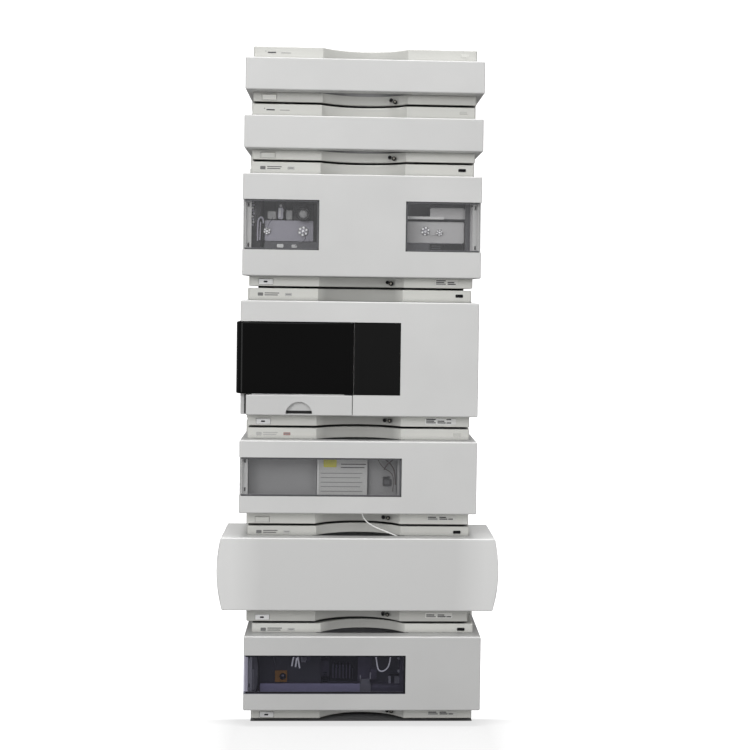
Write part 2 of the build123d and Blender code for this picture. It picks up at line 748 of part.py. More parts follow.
def make_optics_b(m):
    """Optical block, heat sink, flow cell and lamp cover."""
    back = chassis_y(m)
    y = FRONT + 40.0
    left = 22.5 - CASE_W / 2
    house = block(left, -64, y + 16, back, 30, 112)
    house = fillet(house.edges().filter_by(Axis.Y), 3)
    for x, z in ((-96, 84), (-80, 84)):
        house += rod_y(x, y + 6, y + 16, z, 4)
    sink = block(-62, -14, y + 22, back, 52, 76)
    for i in range(6):
        x = -44 + i * 5
        sink += block(x, x + 2, y + 8, y + 22, 54, 74)
    cell = block(-6, 52, y + 18, back, 46, 106)
    cell = fillet(cell.edges().filter_by(Axis.Y), 2)
    cell += block(13, 22, y + 8, y + 18, 52, 68)
    cell += rod_y(20, y + 6, y + 18, 90, 3.5)
    cell += rod_y(42, y + 6, y + 18, 90, 3.5)
    shelf = block(left - 2, 58, y, back, 32, 46)
    shelf = fillet(shelf.edges().filter_by(Axis.X).group_by(Axis.Y)[0], 3)
    rails = block(56, 62, y + 2, back, 32, 100)
    for z in (67, 92):
        rails += screw_head(59, y + 2, z, 2.6, 2)
    house -= block(left - 2, 0, y - 1, back + 1, 20, 46)
    return [put(m, p) for p in (house, sink, cell, shelf, rails)]


HEATER_IN = 26.0        # inner end of each heater, and its length
HEATER_W = CASE_W / 2 - 52.5
FINS = 12
CLIP_X = HEATER_IN + HEATER_W / 2
CLIP_HALF = 6.0


def make_heaters(m):
    """Two finned heat exchangers, each with a column clip."""
    back = chassis_y(m)
    group = []
    for mid in (-CLIP_X, CLIP_X):
        x0 = mid - HEATER_W / 2
        body = block(x0, x0 + HEATER_W, FRONT + 74, back, 34, 112)
        for i in range(FINS):
            x = x0 + HEATER_W * (i + 0.4) / FINS
            body -= block(x, x + HEATER_W / FINS / 2,
                          FRONT + 70, FRONT + 84, 30, 116)
        clip = block(mid - CLIP_HALF, mid + CLIP_HALF,
                     FRONT + 34, FRONT + 80, 62, 84)
        clip -= rod_x(mid - 9, mid + 9, FRONT + 48, COLUMN_Z,
                      COLUMN_R + 0.1)
        clip -= block(mid - 9, mid + 9, FRONT + 30, FRONT + 44,
                      COLUMN_Z - COLUMN_R * 0.8, COLUMN_Z + COLUMN_R * 0.8)
        body += clip
        group.append(put(m, body))
    return group


COLUMN_Z = 73.0
COLUMN_R = 6.0
COLUMN_HALF = CLIP_X + CLIP_HALF + 4.0


def make_column(m):
    """Steel separation column with hexagonal end nuts."""
    y = FRONT + 48
    body = rod_x(-COLUMN_HALF, COLUMN_HALF, y, COLUMN_Z, COLUMN_R)
    for side in (-1, 1):
        nut = extrude(RegularPolygon(10, 6), 18)
        nut = Rot(0, 90 * side, 0) * nut
        body += Pos(side * (COLUMN_HALF - 4), y, COLUMN_Z) * nut
        x0, x1 = sorted((side * (COLUMN_HALF + 12),
                         side * (COLUMN_HALF + 24)))
        body += rod_x(x0, x1, y, COLUMN_Z, 3.2)
    return put(m, body)


TRAY_LOW = 4.0
TRAY_X = 16.5 - CASE_W / 2       # left end of the vial tray
VIAL_R = 5.8
VIAL_STEP = 16.0
VIAL_COLS = 6
VIAL_ROWS = 3


def vial_places():
    for i in range(VIAL_COLS):
        for j in range(VIAL_ROWS):
            yield TRAY_X + 10 + i * VIAL_STEP, FRONT + 52 + j * VIAL_STEP


def make_tray(m):
    """Tray with a pocket for each vial and a front grip."""
    low = base_high(m)
    x_last = TRAY_X + 10 + (VIAL_COLS - 1) * VIAL_STEP
    y_last = FRONT + 52 + (VIAL_ROWS - 1) * VIAL_STEP
    body = block(TRAY_X, x_last + 10, FRONT + 40, y_last + 11,
                 low, low + 24)
    body = fillet(body.edges().filter_by(Axis.Z), 4)
    for x, y in vial_places():
        body -= rod_z(x, y, low + TRAY_LOW, low + 30, VIAL_R + 0.3)
    return put(m, body)


def make_vials(m):
    """Sample vials: body, neck and cap."""
    low = base_high(m) + TRAY_LOW
    half = [
        (0, 0), (VIAL_R, 0), (VIAL_R, 24), (4, 27), (4, 28),
        (5.5, 28), (5.5, 34), (0, 34),
    ]
    profile = make_face(Plane.XZ * Polyline(*half, close=True))
    vial = revolve(profile, Axis.Z)
    return [put(m, Pos(x, y, low) * vial) for x, y in vial_places()]


RAIL_UP = 16.0          # guide rail's top below the lid
RAIL_H = 14.0
RAIL_BACK = 14.0
CARRIAGE_X = 128.5 - CASE_W / 2
CARRIAGE_W = 24.0
CARRIAGE_T = 8.0
NEEDLE_Y = FRONT + 76.0
RUN = 0.3               # play of the sliding pieces


def make_injector(m):
    """Guide rail of the needle arm, and the injection seat."""
    back = chassis_y(m)
    low = base_high(m)
    top = m.high - lid_high(m) - RAIL_UP
    rail = block(32.5 - CASE_W / 2, CASE_W / 2 - 52.5,
                 back - RAIL_BACK, back, top - RAIL_H, top)
    seat = block(60, 110, FRONT + 60, back, low, low + 46)
    seat = fillet(seat.edges().filter_by(Axis.Z), 3)
    seat += block(66, 104, FRONT + 84, back, low + 46, low + 84)
    return [put(m, rail), put(m, seat)]


def make_carriage(m):
    """Carriage that runs along the rail and hooks over it."""
    back = chassis_y(m)
    top = m.high - lid_high(m) - RAIL_UP
    x0 = CARRIAGE_X - CARRIAGE_W / 2
    x1 = CARRIAGE_X + CARRIAGE_W / 2
    face = back - RAIL_BACK - RUN
    body = block(x0, x1, face - CARRIAGE_T, face, top - 44, top + 6)
    body += block(x0, x1, face - 1, back - 3, top + RUN, top + 6)
    return put(m, body)


def make_arm(m):
    """Arm that runs up and down on the carriage, with the needle."""
    back = chassis_y(m)
    top = m.high - lid_high(m) - RAIL_UP
    root = back - RAIL_BACK - RUN - CARRIAGE_T - RUN
    x = CARRIAGE_X
    body = block(x - 10, x + 10, root - 6, root, top - 40, top - 6)
    body += block(x - 6, x + 6, NEEDLE_Y - 6, root, top - 28, top - 16)
    body += rod_z(x, NEEDLE_Y, top - 76, top - 20, 1.5)
    return put(m, body)


# ---- transfer tube ----
TUBE_R = 0.9
# right, behind the face, above the oven's base
TUBE_START = COLUMN_HALF + 24.0
TUBE_LOW = [
    (TUBE_START, 48.0, 73.0), (TUBE_START + 13.0, 48.0, 73.0),
    (TUBE_START + 23.0, 44.0, 84.0), (TUBE_START + 14.0, 39.0, 99.0),
    (TUBE_START - 12.0, 34.0, 109.0), (78.0, 30.0, 116.0),
    (56.0, 28.2, 126.5), (41.0, 30.0, 132.5), (25.0, 36.0, 137.5),
]
# the same, above the base of the instrument on top
TUBE_HIGH = [(10.0, 40.0, 2.0), (4.0, 44.0, 14.0), (4.0, 44.0, 30.0)]


def make_tube(m):
    """Thin white tube from the column up to the next instrument."""
    rise = m.high + GAP
    route = TUBE_LOW + [(x, y, z + rise) for x, y, z in TUBE_HIGH]
    points = [Vector(x, FRONT + y, z) for x, y, z in route]
    radii = []
    for a, b, c in zip(points, points[1:], points[2:]):
        turn = math.radians((b - a).get_angle(c - b))
        shorter = min((b - a).length, (c - b).length)
        radii.append(0.45 * shorter / math.tan(turn / 2))
    print("tube radii", [round(r, 1) for r in radii])
    path = FilletPolyline(*points, radius=radii)
    start = Plane(origin=points[0], z_dir=path % 0)
    body = sweep(start * Circle(TUBE_R), path=path)
    print("tube length", round(path.length, 1), "volume ratio",
          round(body.volume / (math.pi * TUBE_R ** 2 * path.length), 4))
    return put(m, body)


# ---- write every piece ----
COVERS = {
    "pump": make_pump_cover,
    "sampler": make_sampler_cover,
    "detector_a": make_detector_cover,
    "oven": make_oven_cover,
    "detector_b": make_detector_cover,
}

for m in STACK:
    keep(f"{m.name}_housing", make_housing(m))
    keep(f"{m.name}_lid", make_lid(m))
    keep(f"{m.name}_chassis", make_chassis(m))
    keep(f"{m.name}_cover", COVERS.get(m.name, make_plain_cover)(m))
    keep(f"{m.name}_button", make_button(m))


def group(pieces):
    """Several separate solids in one node."""
    flat = []
    for piece in pieces:
        flat += piece if isinstance(piece, list) else [piece]
    return Compound(children=[s for p in flat for s in p.solids()])


pump = MODULE["pump"]
sampler = MODULE["sampler"]
detector_a = MODULE["detector_a"]
oven = MODULE["oven"]
detector_b = MODULE["detector_b"]

keep("rubber_feet", group([make_feet(m) for m in STACK]))
keep("status_lamps", group([make_lamp(m) for m in STACK]))
keep("drain_outlets", group([make_drain(m) for m in STACK]))
keep("mains_inlets", group([make_inlet(m) for m in STACK]))
keep("data_ports", group([make_ports(m) for m in STACK]))
keep("pump_windows", group(make_pump_panes(pump)))
keep("pump_heads", group(make_pump_heads(pump)))
keep("pump_manifold", group(make_manifold(pump)))
keep("purge_knob", make_knob(pump))
keep("sampler_door", make_door(sampler))
keep("sampler_door_rail", make_rail(sampler))
keep("sampler_window", make_fixed_window(sampler))
keep("vial_tray", make_tray(sampler))
keep("vials", group(make_vials(sampler)))
keep("sampler_injector", group(make_injector(sampler)))
keep("sampler_carriage", make_carriage(sampler))
keep("sampler_arm", make_arm(sampler))
keep("detector_a_window", make_detector_pane(detector_a))
keep("detector_a_optics", group(make_optics_a(detector_a)))
keep("detector_a_card", make_card(detector_a))
keep("detector_b_window", make_detector_pane(detector_b))
keep("detector_b_optics", group(make_optics_b(detector_b)))
keep("column_heaters", group(make_heaters(oven)))
keep("column", make_column(oven))
keep("transfer_tube", make_tube(oven))
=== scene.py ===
"""Looks of the liquid chromatography stack: materials, plain fields on
the fronts, the works behind the windows, light and camera. Sizes are in
millimetres unless a name says otherwise; the helpers turn them into
metres."""

import math

import bmesh
import bpy
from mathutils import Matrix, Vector


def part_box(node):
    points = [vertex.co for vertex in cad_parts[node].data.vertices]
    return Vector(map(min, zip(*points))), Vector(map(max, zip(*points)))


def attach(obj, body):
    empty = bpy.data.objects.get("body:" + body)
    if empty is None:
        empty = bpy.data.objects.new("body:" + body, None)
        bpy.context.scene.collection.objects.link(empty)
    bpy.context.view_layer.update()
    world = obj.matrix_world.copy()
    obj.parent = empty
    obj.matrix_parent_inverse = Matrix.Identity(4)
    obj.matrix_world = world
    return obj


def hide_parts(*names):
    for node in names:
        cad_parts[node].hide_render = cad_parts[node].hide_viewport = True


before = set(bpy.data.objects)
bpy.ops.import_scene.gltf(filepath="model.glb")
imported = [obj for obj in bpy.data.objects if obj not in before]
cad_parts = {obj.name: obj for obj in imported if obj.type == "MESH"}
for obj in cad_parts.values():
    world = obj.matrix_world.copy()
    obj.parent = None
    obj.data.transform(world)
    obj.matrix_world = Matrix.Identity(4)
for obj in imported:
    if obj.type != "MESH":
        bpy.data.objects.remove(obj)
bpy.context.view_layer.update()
MM = 0.001

MODULES = ["degasser_top", "degasser_low", "pump", "sampler",
           "detector_a", "oven", "detector_b"]
WHITE_BUTTONS = ("pump", "sampler", "oven", "detector_b")
DARK_LAMPS = ("pump", "sampler", "oven", "detector_b")


# ---- places, read from the frame ----
class Place:
    """One instrument's own frame: x from its middle, d behind the front
    cover's face, z above its base."""

    def __init__(self, name):
        low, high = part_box(f"{name}_housing")
        lid_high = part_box(f"{name}_lid")[1]
        cover_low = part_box(f"{name}_cover")[0]
        self.mid = (low[0] + high[0]) / 2
        self.floor = low[2]
        self.high = (lid_high[2] - low[2]) / MM
        self.front = cover_low[1]
        self.strip = (low[1] - cover_low[1]) / MM

    def at(self, x, d, z):
        return Vector((self.mid + x * MM, self.front + d * MM,
                       self.floor + z * MM))


PLACE = {name: Place(name) for name in MODULES}


# ---- materials ----
CLOUD = 7.0             # scale of the faint clouds in moulded plastic
CLOUD_SPREAD = 0.03     # how far they move its tone
GRAIN = 900.0           # scale of its fine skin
GRAIN_RISE = 0.12       # strength of that skin's bump
PLASTIC_SHEEN = 0.4     # specular level of plain plastic
# CREASE and the two values after it set painted shade in narrow gaps.
CREASE = 0.014          # metres within which a wall shades its neighbour
CREASE_OPEN = (0.10, 0.62)      # openness where the shade ends and starts
CREASE_DARK = 0.03      # share of the tone left in the deepest crease
# STRIP_FACE, RECESS_RUN and RECESS_SIDE bound the painted shade in the strips'
# recess.
STRIP_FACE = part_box("sampler_housing")[0][1]
RECESS_RUN = (0.001, 0.012)     # metres behind the strips' faces
RECESS_SIDE = (0.10, 0.12)      # metres to either side of the middle
# OVEN_RUN and OVEN_WAVE place the painted highlight on the oven cover's two
# sides.
OVEN_RUN = (0.140, 0.185)       # metres aside where its tone changes
OVEN_WAVE = 0.006       # metres by which clouds move that change


def srgb(level):
    """A display level from 0 to 255 as a linear value."""
    v = level / 255
    return v / 12.92 if v <= 0.04045 else ((v + 0.055) / 1.055) ** 2.4


def colour(r, g, b):
    return (srgb(r), srgb(g), srgb(b), 1.0)


class Nodes:
    """A small helper that builds one material's node tree."""

    def __init__(self, name):
        self.material = bpy.data.materials.new(name)
        self.material.use_nodes = True
        self.tree = self.material.node_tree
        self.tree.nodes.clear()
        self.output = self.add("ShaderNodeOutputMaterial")
        self.coords = self.add("ShaderNodeTexCoord")

    def add(self, kind, **values):
        node = self.tree.nodes.new(kind)
        for key, value in values.items():
            setattr(node, key, value)
        return node

    def link(self, a, b):
        self.tree.links.new(a, b)

    def noise(self, scale, detail=2.0, rough=0.5, stretch=None):
        node = self.add("ShaderNodeTexNoise")
        node.inputs["Scale"].default_value = scale
        node.inputs["Detail"].default_value = detail
        node.inputs["Roughness"].default_value = rough
        source = self.coords.outputs["Object"]
        if stretch:
            mapping = self.add("ShaderNodeMapping")
            mapping.inputs["Scale"].default_value = stretch
            self.link(source, mapping.inputs["Vector"])
            source = mapping.outputs["Vector"]
        self.link(source, node.inputs["Vector"])
        return node.outputs["Fac"]

    def ramp(self, factor, low, high, at=(0.35, 0.65)):
        node = self.add("ShaderNodeValToRGB")
        node.color_ramp.elements[0].position = at[0]
        node.color_ramp.elements[0].color = low
        node.color_ramp.elements[1].position = at[1]
        node.color_ramp.elements[1].color = high
        self.link(factor, node.inputs["Fac"])
        return node.outputs["Color"]

    def bump(self, height, strength, distance):
        node = self.add("ShaderNodeBump")
        node.inputs["Strength"].default_value = strength
        node.inputs["Distance"].default_value = distance
        self.link(height, node.inputs["Height"])
        return node.outputs["Normal"]

    def maths(self, operation, one, two=None):
        """One arithmetic step; two is a socket or a number."""
        node = self.add("ShaderNodeMath", operation=operation)
        self.link(one, node.inputs[0])
        if isinstance(two, float):
            node.inputs[1].default_value = two
        elif two is not None:
            self.link(two, node.inputs[1])
        return node.outputs[0]

    def shift(self, socket, amount):
        return self.maths("ADD", socket, float(amount))

    def span(self, socket, low, high, at_low, at_high):
        """A value that runs between two ends."""
        node = self.add("ShaderNodeMapRange")
        node.inputs["From Min"].default_value = low
        node.inputs["From Max"].default_value = high
        node.inputs["To Min"].default_value = at_low
        node.inputs["To Max"].default_value = at_high
        self.link(socket, node.inputs["Value"])
        return node.outputs["Result"]

    def darkened(self, tone, share):
        """The tone, multiplied by a share that runs from 0 to 1."""
        dark = self.add("ShaderNodeMix", data_type="RGBA",
                        blend_type="MULTIPLY")
        dark.inputs["Factor"].default_value = 1.0
        self.link(tone, dark.inputs["A"])
        self.link(share, dark.inputs["B"])
        return dark.outputs["Result"]

    def crease_shaded(self, tone, reach):
        """The tone with painted shade, turned nearly black deep in narrow gaps
        by an occlusion node.
        """
        hollow = self.add("ShaderNodeAmbientOcclusion", samples=4)
        hollow.inputs["Distance"].default_value = reach
        share = self.span(hollow.outputs["AO"], *CREASE_OPEN,
                          CREASE_DARK, 1.0)
        return self.darkened(tone, share)

    def recess_shaded(self, tone, darkest):
        """The tone with painted shade, darker in the recess of the strips,
        which lies behind their faces and well inside the side walls."""
        split = self.add("ShaderNodeSeparateXYZ")
        self.link(self.coords.outputs["Object"], split.inputs[0])
        behind = self.span(split.outputs["Y"], STRIP_FACE + RECESS_RUN[0],
                           STRIP_FACE + RECESS_RUN[1], 1.0, darkest)
        aside = self.span(self.maths("ABSOLUTE", split.outputs["X"]),
                          *RECESS_SIDE, darkest, 1.0)
        return self.darkened(tone, self.maths("MAXIMUM", behind, aside))

    def principled(self, rough, metallic=0.0, specular=0.5):
        node = self.add("ShaderNodeBsdfPrincipled")
        node.inputs["Roughness"].default_value = rough
        node.inputs["Metallic"].default_value = metallic
        node.inputs["Specular IOR Level"].default_value = specular
        return node


def shaded(base, factor):
    return tuple(min(1.0, c * factor) for c in base[:3]) + (1.0,)


def moulded(name, base, rough=0.45, crease=0.0, recess=1.0):
    """Moulded plastic: faint cloudy tone and a fine grained skin. With a
    crease, painted shade turns gaps up to that many metres wide dark. The
    recess is the share of the tone that is left behind the strips' faces,
    where shade is painted in."""
    n = Nodes(name)
    shader = n.principled(rough, specular=PLASTIC_SHEEN)
    tone = n.ramp(n.noise(CLOUD, 3.0), shaded(base, 1 - CLOUD_SPREAD),
                  shaded(base, 1 + CLOUD_SPREAD))
    if recess < 1.0:
        tone = n.recess_shaded(tone, recess)
    if crease:
        tone = n.crease_shaded(tone, crease)
    n.link(tone, shader.inputs["Base Color"])
    n.link(n.bump(n.noise(GRAIN, 2.0), GRAIN_RISE, 0.0002),
           shader.inputs["Normal"])
    n.link(shader.outputs["BSDF"], n.output.inputs["Surface"])
    return n.material


def painted_glow_plastic(name, base, glow, rough=0.35):
    """Milky plastic with a painted glow: it gives off its own tone as light,
    which stands in for the light a milky tube lets through.
    """
    n = Nodes(name)
    shader = n.principled(rough, specular=PLASTIC_SHEEN)
    tone = n.ramp(n.noise(40.0, 2.0), shaded(base, 0.97), base)
    n.link(tone, shader.inputs["Base Color"])
    n.link(tone, shader.inputs["Emission Color"])
    shader.inputs["Emission Strength"].default_value = glow
    n.link(shader.outputs["BSDF"], n.output.inputs["Surface"])
    return n.material


def metal(name, base, rough=0.35, stretch=(1, 1, 60), metallic=0.9):
    """Brushed or turned metal: fine streaks in tone and roughness."""
    n = Nodes(name)
    shader = n.principled(rough, metallic)
    streak = n.noise(120.0, 3.0, 0.6, stretch)
    n.link(n.ramp(streak, shaded(base, 0.88), shaded(base, 1.08)),
           shader.inputs["Base Color"])
    n.link(n.bump(streak, 0.15, 0.0002), shader.inputs["Normal"])
    n.link(shader.outputs["BSDF"], n.output.inputs["Surface"])
    return n.material


def polished(name, base, rough=0.08, haze=0.02, specular=0.14):
    """Polished dark acrylic with a faint haze."""
    n = Nodes(name)
    shader = n.principled(rough, specular=specular)
    tone = n.ramp(n.noise(5.0, 2.0), base, shaded(base, 1 + haze * 10))
    n.link(tone, shader.inputs["Base Color"])
    n.link(n.bump(n.noise(18.0, 1.0), 0.02, 0.0008),
           shader.inputs["Normal"])
    n.link(shader.outputs["BSDF"], n.output.inputs["Surface"])
    return n.material


def clear(name, tint, veil, rough=0.05, veil_share=0.12):
    """Clear acrylic: mostly see-through, with a gloss and a thin veil."""
    n = Nodes(name)
    through = n.add("ShaderNodeBsdfTransparent")
    through.inputs["Color"].default_value = tint
    shader = n.principled(rough, specular=0.5)
    tone = n.ramp(n.noise(9.0, 2.0), shaded(veil, 0.96), shaded(veil, 1.04))
    n.link(tone, shader.inputs["Base Color"])
    mix = n.add("ShaderNodeMixShader")
    mix.inputs["Fac"].default_value = veil_share
    n.link(through.outputs["BSDF"], mix.inputs[1])
    n.link(shader.outputs["BSDF"], mix.inputs[2])
    n.link(mix.outputs["Shader"], n.output.inputs["Surface"])
    return n.material


def oven_plastic(name, base, lighter, rough=0.45):
    """Moulded plastic with a painted highlight: it turns lighter towards its
    two bowed sides.
    """
    n = Nodes(name)
    shader = n.principled(rough, specular=PLASTIC_SHEEN)
    split = n.add("ShaderNodeSeparateXYZ")
    n.link(n.coords.outputs["Object"], split.inputs[0])
    aside = n.maths("ABSOLUTE", split.outputs["X"])
    cloud = n.span(n.noise(CLOUD, 3.0), 0.0, 1.0, -OVEN_WAVE, OVEN_WAVE)
    aside = n.maths("ADD", aside, cloud)
    tone = n.ramp(aside, base, shaded(base, lighter), OVEN_RUN)
    n.link(tone, shader.inputs["Base Color"])
    n.link(n.bump(n.noise(GRAIN, 2.0), GRAIN_RISE, 0.0002),
           shader.inputs["Normal"])
    n.link(shader.outputs["BSDF"], n.output.inputs["Surface"])
    return n.material


COVER = colour(212, 212, 211)
CABINET = colour(225, 225, 220)
M = {
    "cover": moulded("cover_plastic", COVER),
    # The lighter and darker cover copies are painted light and shade for how
    # the light falls on each instrument: lighter on the middle covers and the
    # oven's, darker on the lowest cover.
    "cover_painted_light": moulded("cover_painted_light_plastic", shaded(COVER, 1.06)),
    "cover_low": moulded("cover_painted_shade_plastic", shaded(COVER, 0.94)),
    "oven_cover": oven_plastic("oven_plastic", shaded(COVER, 1.05), 1.18),
    # The cabinet plastics get painted shade in narrow gaps; the copies darker
    # than their kind paint shade on the top instrument's strips and on the
    # oven's strips.
    "cabinet_painted_shade_top": moulded("cabinet_painted_shade_top_plastic", shaded(CABINET, 0.79),
                           crease=CREASE),
    "cabinet": moulded("cabinet_plastic", CABINET, 0.5, crease=CREASE),
    "cabinet_painted_shade_oven_low": moulded("cabinet_painted_shade_oven_low_plastic",
                                shaded(CABINET, 0.77), 0.5,
                                crease=CREASE),
    "cabinet_painted_shade_oven": moulded("cabinet_painted_shade_oven_plastic",
                            shaded(CABINET, 0.88), 0.5, crease=CREASE),
    # This copy has painted shade in the strips' recess.
    "cabinet_recess_shaded": moulded("cabinet_recess_shaded_plastic", CABINET, 0.5,
                           crease=CREASE, recess=0.74),
    "chassis": moulded("chassis_coat", colour(150, 150, 152), 0.4),
    "button": moulded("button_white", colour(246, 246, 246), 0.3),
    "button_pale": moulded("button_pale", CABINET, 0.4),
    "mark": moulded("mark_dark", colour(40, 40, 42), 0.4),
    "lamp": polished("lamp_dark", colour(26, 26, 28), 0.2),
    "lamp_pale": moulded("lamp_pale", shaded(CABINET, 0.86), 0.4),
    "rubber": moulded("rubber", colour(34, 34, 34), 0.8),
    "drain": moulded("drain_plastic", colour(30, 30, 30), 0.4),
    # pale tone of the painted highlight in the second drain fittings
    "drain_highlight": moulded("drain_painted_highlight", colour(186, 180, 168), 0.4),
    "connector": moulded("connector_plastic", colour(28, 28, 28), 0.5),
    "data": metal("connector_metal", colour(176, 176, 178), 0.3),
    "clear": clear("clear_acrylic", (0.95, 0.95, 0.95, 1),
                   colour(205, 205, 208), veil_share=0.06),
    "clear_dark": clear("clear_tinted", (0.71, 0.71, 0.75, 1),
                        colour(120, 120, 130), veil_share=0.06),
    "smoked": polished("smoked_acrylic", colour(8, 8, 8)),
    "smoked_light": polished("smoked_light", colour(22, 22, 22)),
    "pump_metal": metal("pump_metal", colour(178, 176, 184), 0.35,
                        metallic=0.5),
    "manifold": moulded("manifold_plastic", colour(74, 74, 76), 0.5),
    "knob": moulded("knob_plastic", colour(40, 40, 42), 0.4),
    "tray": moulded("tray_plastic", colour(70, 70, 76), 0.5),
    "vial": clear("vial_glass", (0.8, 0.85, 0.82, 1),
                  colour(200, 210, 205), veil_share=0.3),
    "arm": metal("arm_steel", colour(180, 180, 182), 0.3),
    "optics_a": moulded("optics_a_coat", colour(150, 150, 152), 0.5),
    "optics_b": moulded("optics_b_coat", colour(112, 108, 122), 0.5),
    "card": moulded("card_print", colour(206, 206, 205), 0.6),
    "heater": metal("heater_metal", colour(190, 190, 192), 0.4),
    "column": metal("column_steel", colour(200, 200, 202), 0.2,
                    (60, 1, 1)),
    # The tube, strip and loop plastics glow with painted light.
    "tube": painted_glow_plastic("tube_white", colour(248, 248, 246), 0.22),
    "white": moulded("works_white", colour(240, 240, 240), 0.4),
    "lit_strip": painted_glow_plastic("strip_white", colour(206, 204, 210), 0.45),
    "loop": painted_glow_plastic("loop_white", colour(240, 240, 242), 0.35),
    "pale": moulded("works_pale", colour(214, 213, 214), 0.45),
    "lilac": moulded("works_lilac", colour(172, 170, 182), 0.4),
    "grey": moulded("works_grey", colour(162, 162, 163), 0.5),
    "dim": moulded("works_dim", colour(92, 92, 96), 0.5),
    "dark": moulded("works_dark", colour(48, 48, 50), 0.5),
    "black": moulded("works_black", colour(18, 18, 19), 0.4),
    "shelf": moulded("shelf_lilac", colour(202, 198, 224), 0.45),
    "strand": moulded("strand_brown", colour(72, 52, 50), 0.5),
    "ochre": moulded("label_ochre", colour(196, 142, 66), 0.5),
    "yellow": moulded("field_yellow", colour(214, 208, 66), 0.5),
    "print": moulded("print_grey", colour(78, 78, 80), 0.6),
    "print_soft": moulded("print_soft", colour(122, 122, 122), 0.6),
    "print_pale": moulded("print_pale", colour(196, 196, 194), 0.6),
    "print_faint": moulded("print_faint", colour(150, 150, 150), 0.6),
    "print_red": moulded("print_red", colour(178, 140, 136), 0.6),
    "field": moulded("field_pale", colour(224, 224, 220), 0.5),
    "plate": moulded("plate_white", colour(240, 240, 238), 0.4),
}


# These nodes take lighter or darker copies of their material: painted light
# and shade.
LIT_AND_SHADED_COPIES = {          # nodes that differ from the rest of their kind
    "degasser_top_housing": "cabinet_painted_shade_top",
    "degasser_top_lid": "cabinet_painted_shade_top",
    "sampler_housing": "cabinet_recess_shaded", "sampler_lid": "cabinet_recess_shaded",
    "sampler_cover": "cover_painted_light",
    "detector_a_housing": "cabinet_recess_shaded", "detector_a_lid": "cabinet_recess_shaded",
    "detector_a_cover": "cover_painted_light",
    "oven_housing": "cabinet_painted_shade_oven_low", "oven_lid": "cabinet_painted_shade_oven",
    "oven_cover": "oven_cover",
    "detector_b_lid": "cabinet_recess_shaded", "detector_b_cover": "cover_low",
}


def finish_nodes():
    """Give every carried-over CAD node its material."""
    table = {
        "rubber_feet": "rubber", "drain_outlets": "drain",
        "mains_inlets": "connector", "data_ports": "data",
        "pump_windows": "clear", "pump_heads": "pump_metal",
        "pump_manifold": "manifold", "purge_knob": "knob",
        "sampler_door": "smoked", "sampler_door_rail": "cover",
        "sampler_window": "smoked_light", "vial_tray": "tray",
        "vials": "vial", "sampler_injector": "arm",
        "sampler_carriage": "arm", "sampler_arm": "arm",
        "detector_a_window": "clear", "detector_a_optics": "optics_a",
        "detector_a_card": "card", "detector_b_window": "clear_dark",
        "detector_b_optics": "optics_b", "column_heaters": "heater",
        "column": "column", "status_lamps": "lamp_pale",
        "transfer_tube": "tube",
    }
    for name in MODULES:
        table[f"{name}_housing"] = "cabinet"
        table[f"{name}_lid"] = "cabinet"
        table[f"{name}_chassis"] = "chassis"
        table[f"{name}_cover"] = "cover"
        white = name in WHITE_BUTTONS
        table[f"{name}_button"] = "button" if white else "button_pale"
    table.update(LIT_AND_SHADED_COPIES)
    for name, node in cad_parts.items():
        node.data.materials.clear()
        node.data.materials.append(M[table[name]])


finish_nodes()


# ---- mesh helpers ----
def keep(name, mesh, material, body):
    """Turn a bmesh into a piece that rides on a body."""
    data = bpy.data.meshes.new(name)
    mesh.to_mesh(data)
    mesh.free()
    data.materials.append(M[material])
    piece = bpy.data.objects.new(name, data)
    bpy.context.collection.objects.link(piece)
    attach(piece, body)
    return piece


def rounded_outline(x0, x1, z0, z1, radius, steps=5):
    """Corner points of a rounded rectangle, as (x, z) pairs."""
    points = []
    radius = min(radius, (x1 - x0) / 2, (z1 - z0) / 2)
    corners = ((x1 - radius, z1 - radius, 0), (x0 + radius, z1 - radius, 90),
               (x0 + radius, z0 + radius, 180),
               (x1 - radius, z0 + radius, 270))
    for cx, cz, start in corners:
        for i in range(steps + 1):
            a = math.radians(start + 90 * i / steps)
            points.append((cx + radius * math.cos(a),
                           cz + radius * math.sin(a)))
    return points


def add_plate(mesh, place, outline, d, thick):
    """A flat plate that faces the front; d is its front face."""
    front = [mesh.verts.new(place.at(x, d, z)) for x, z in outline]
    back = [mesh.verts.new(place.at(x, d + thick, z)) for x, z in outline]
    mesh.faces.new(front)
    mesh.faces.new(list(reversed(back)))
    count = len(outline)
    for i in range(count):
        j = (i + 1) % count
        mesh.faces.new((front[i], back[i], back[j], front[j]))


def plate(name, place, x0, x1, z0, z1, d, thick, material, body,
          radius=0.8):
    mesh = bmesh.new()
    add_plate(mesh, place, rounded_outline(x0, x1, z0, z1, radius), d, thick)
    bmesh.ops.recalc_face_normals(mesh, faces=mesh.faces)
    return keep(name, mesh, material, body)


# ---- buttons, lamps ----
BUTTON_X = -139.5
BUTTON_Z = 6.3
BUTTON_OUT = 1.6        # button's face ahead of its strip
DOT_LEFT = 3.4          # edges of its dark dot from its middle
DOT_RIGHT = 2.6
DOT_HALF = 1.2
LAMP_X = 145.0
LAMP_W = 11.0
LAMP_H = 4.3
LAMP_DROP = 8.1         # lamp's middle below the top of the lid
LAMP_OUT = 0.5          # lamp's face ahead of its strip

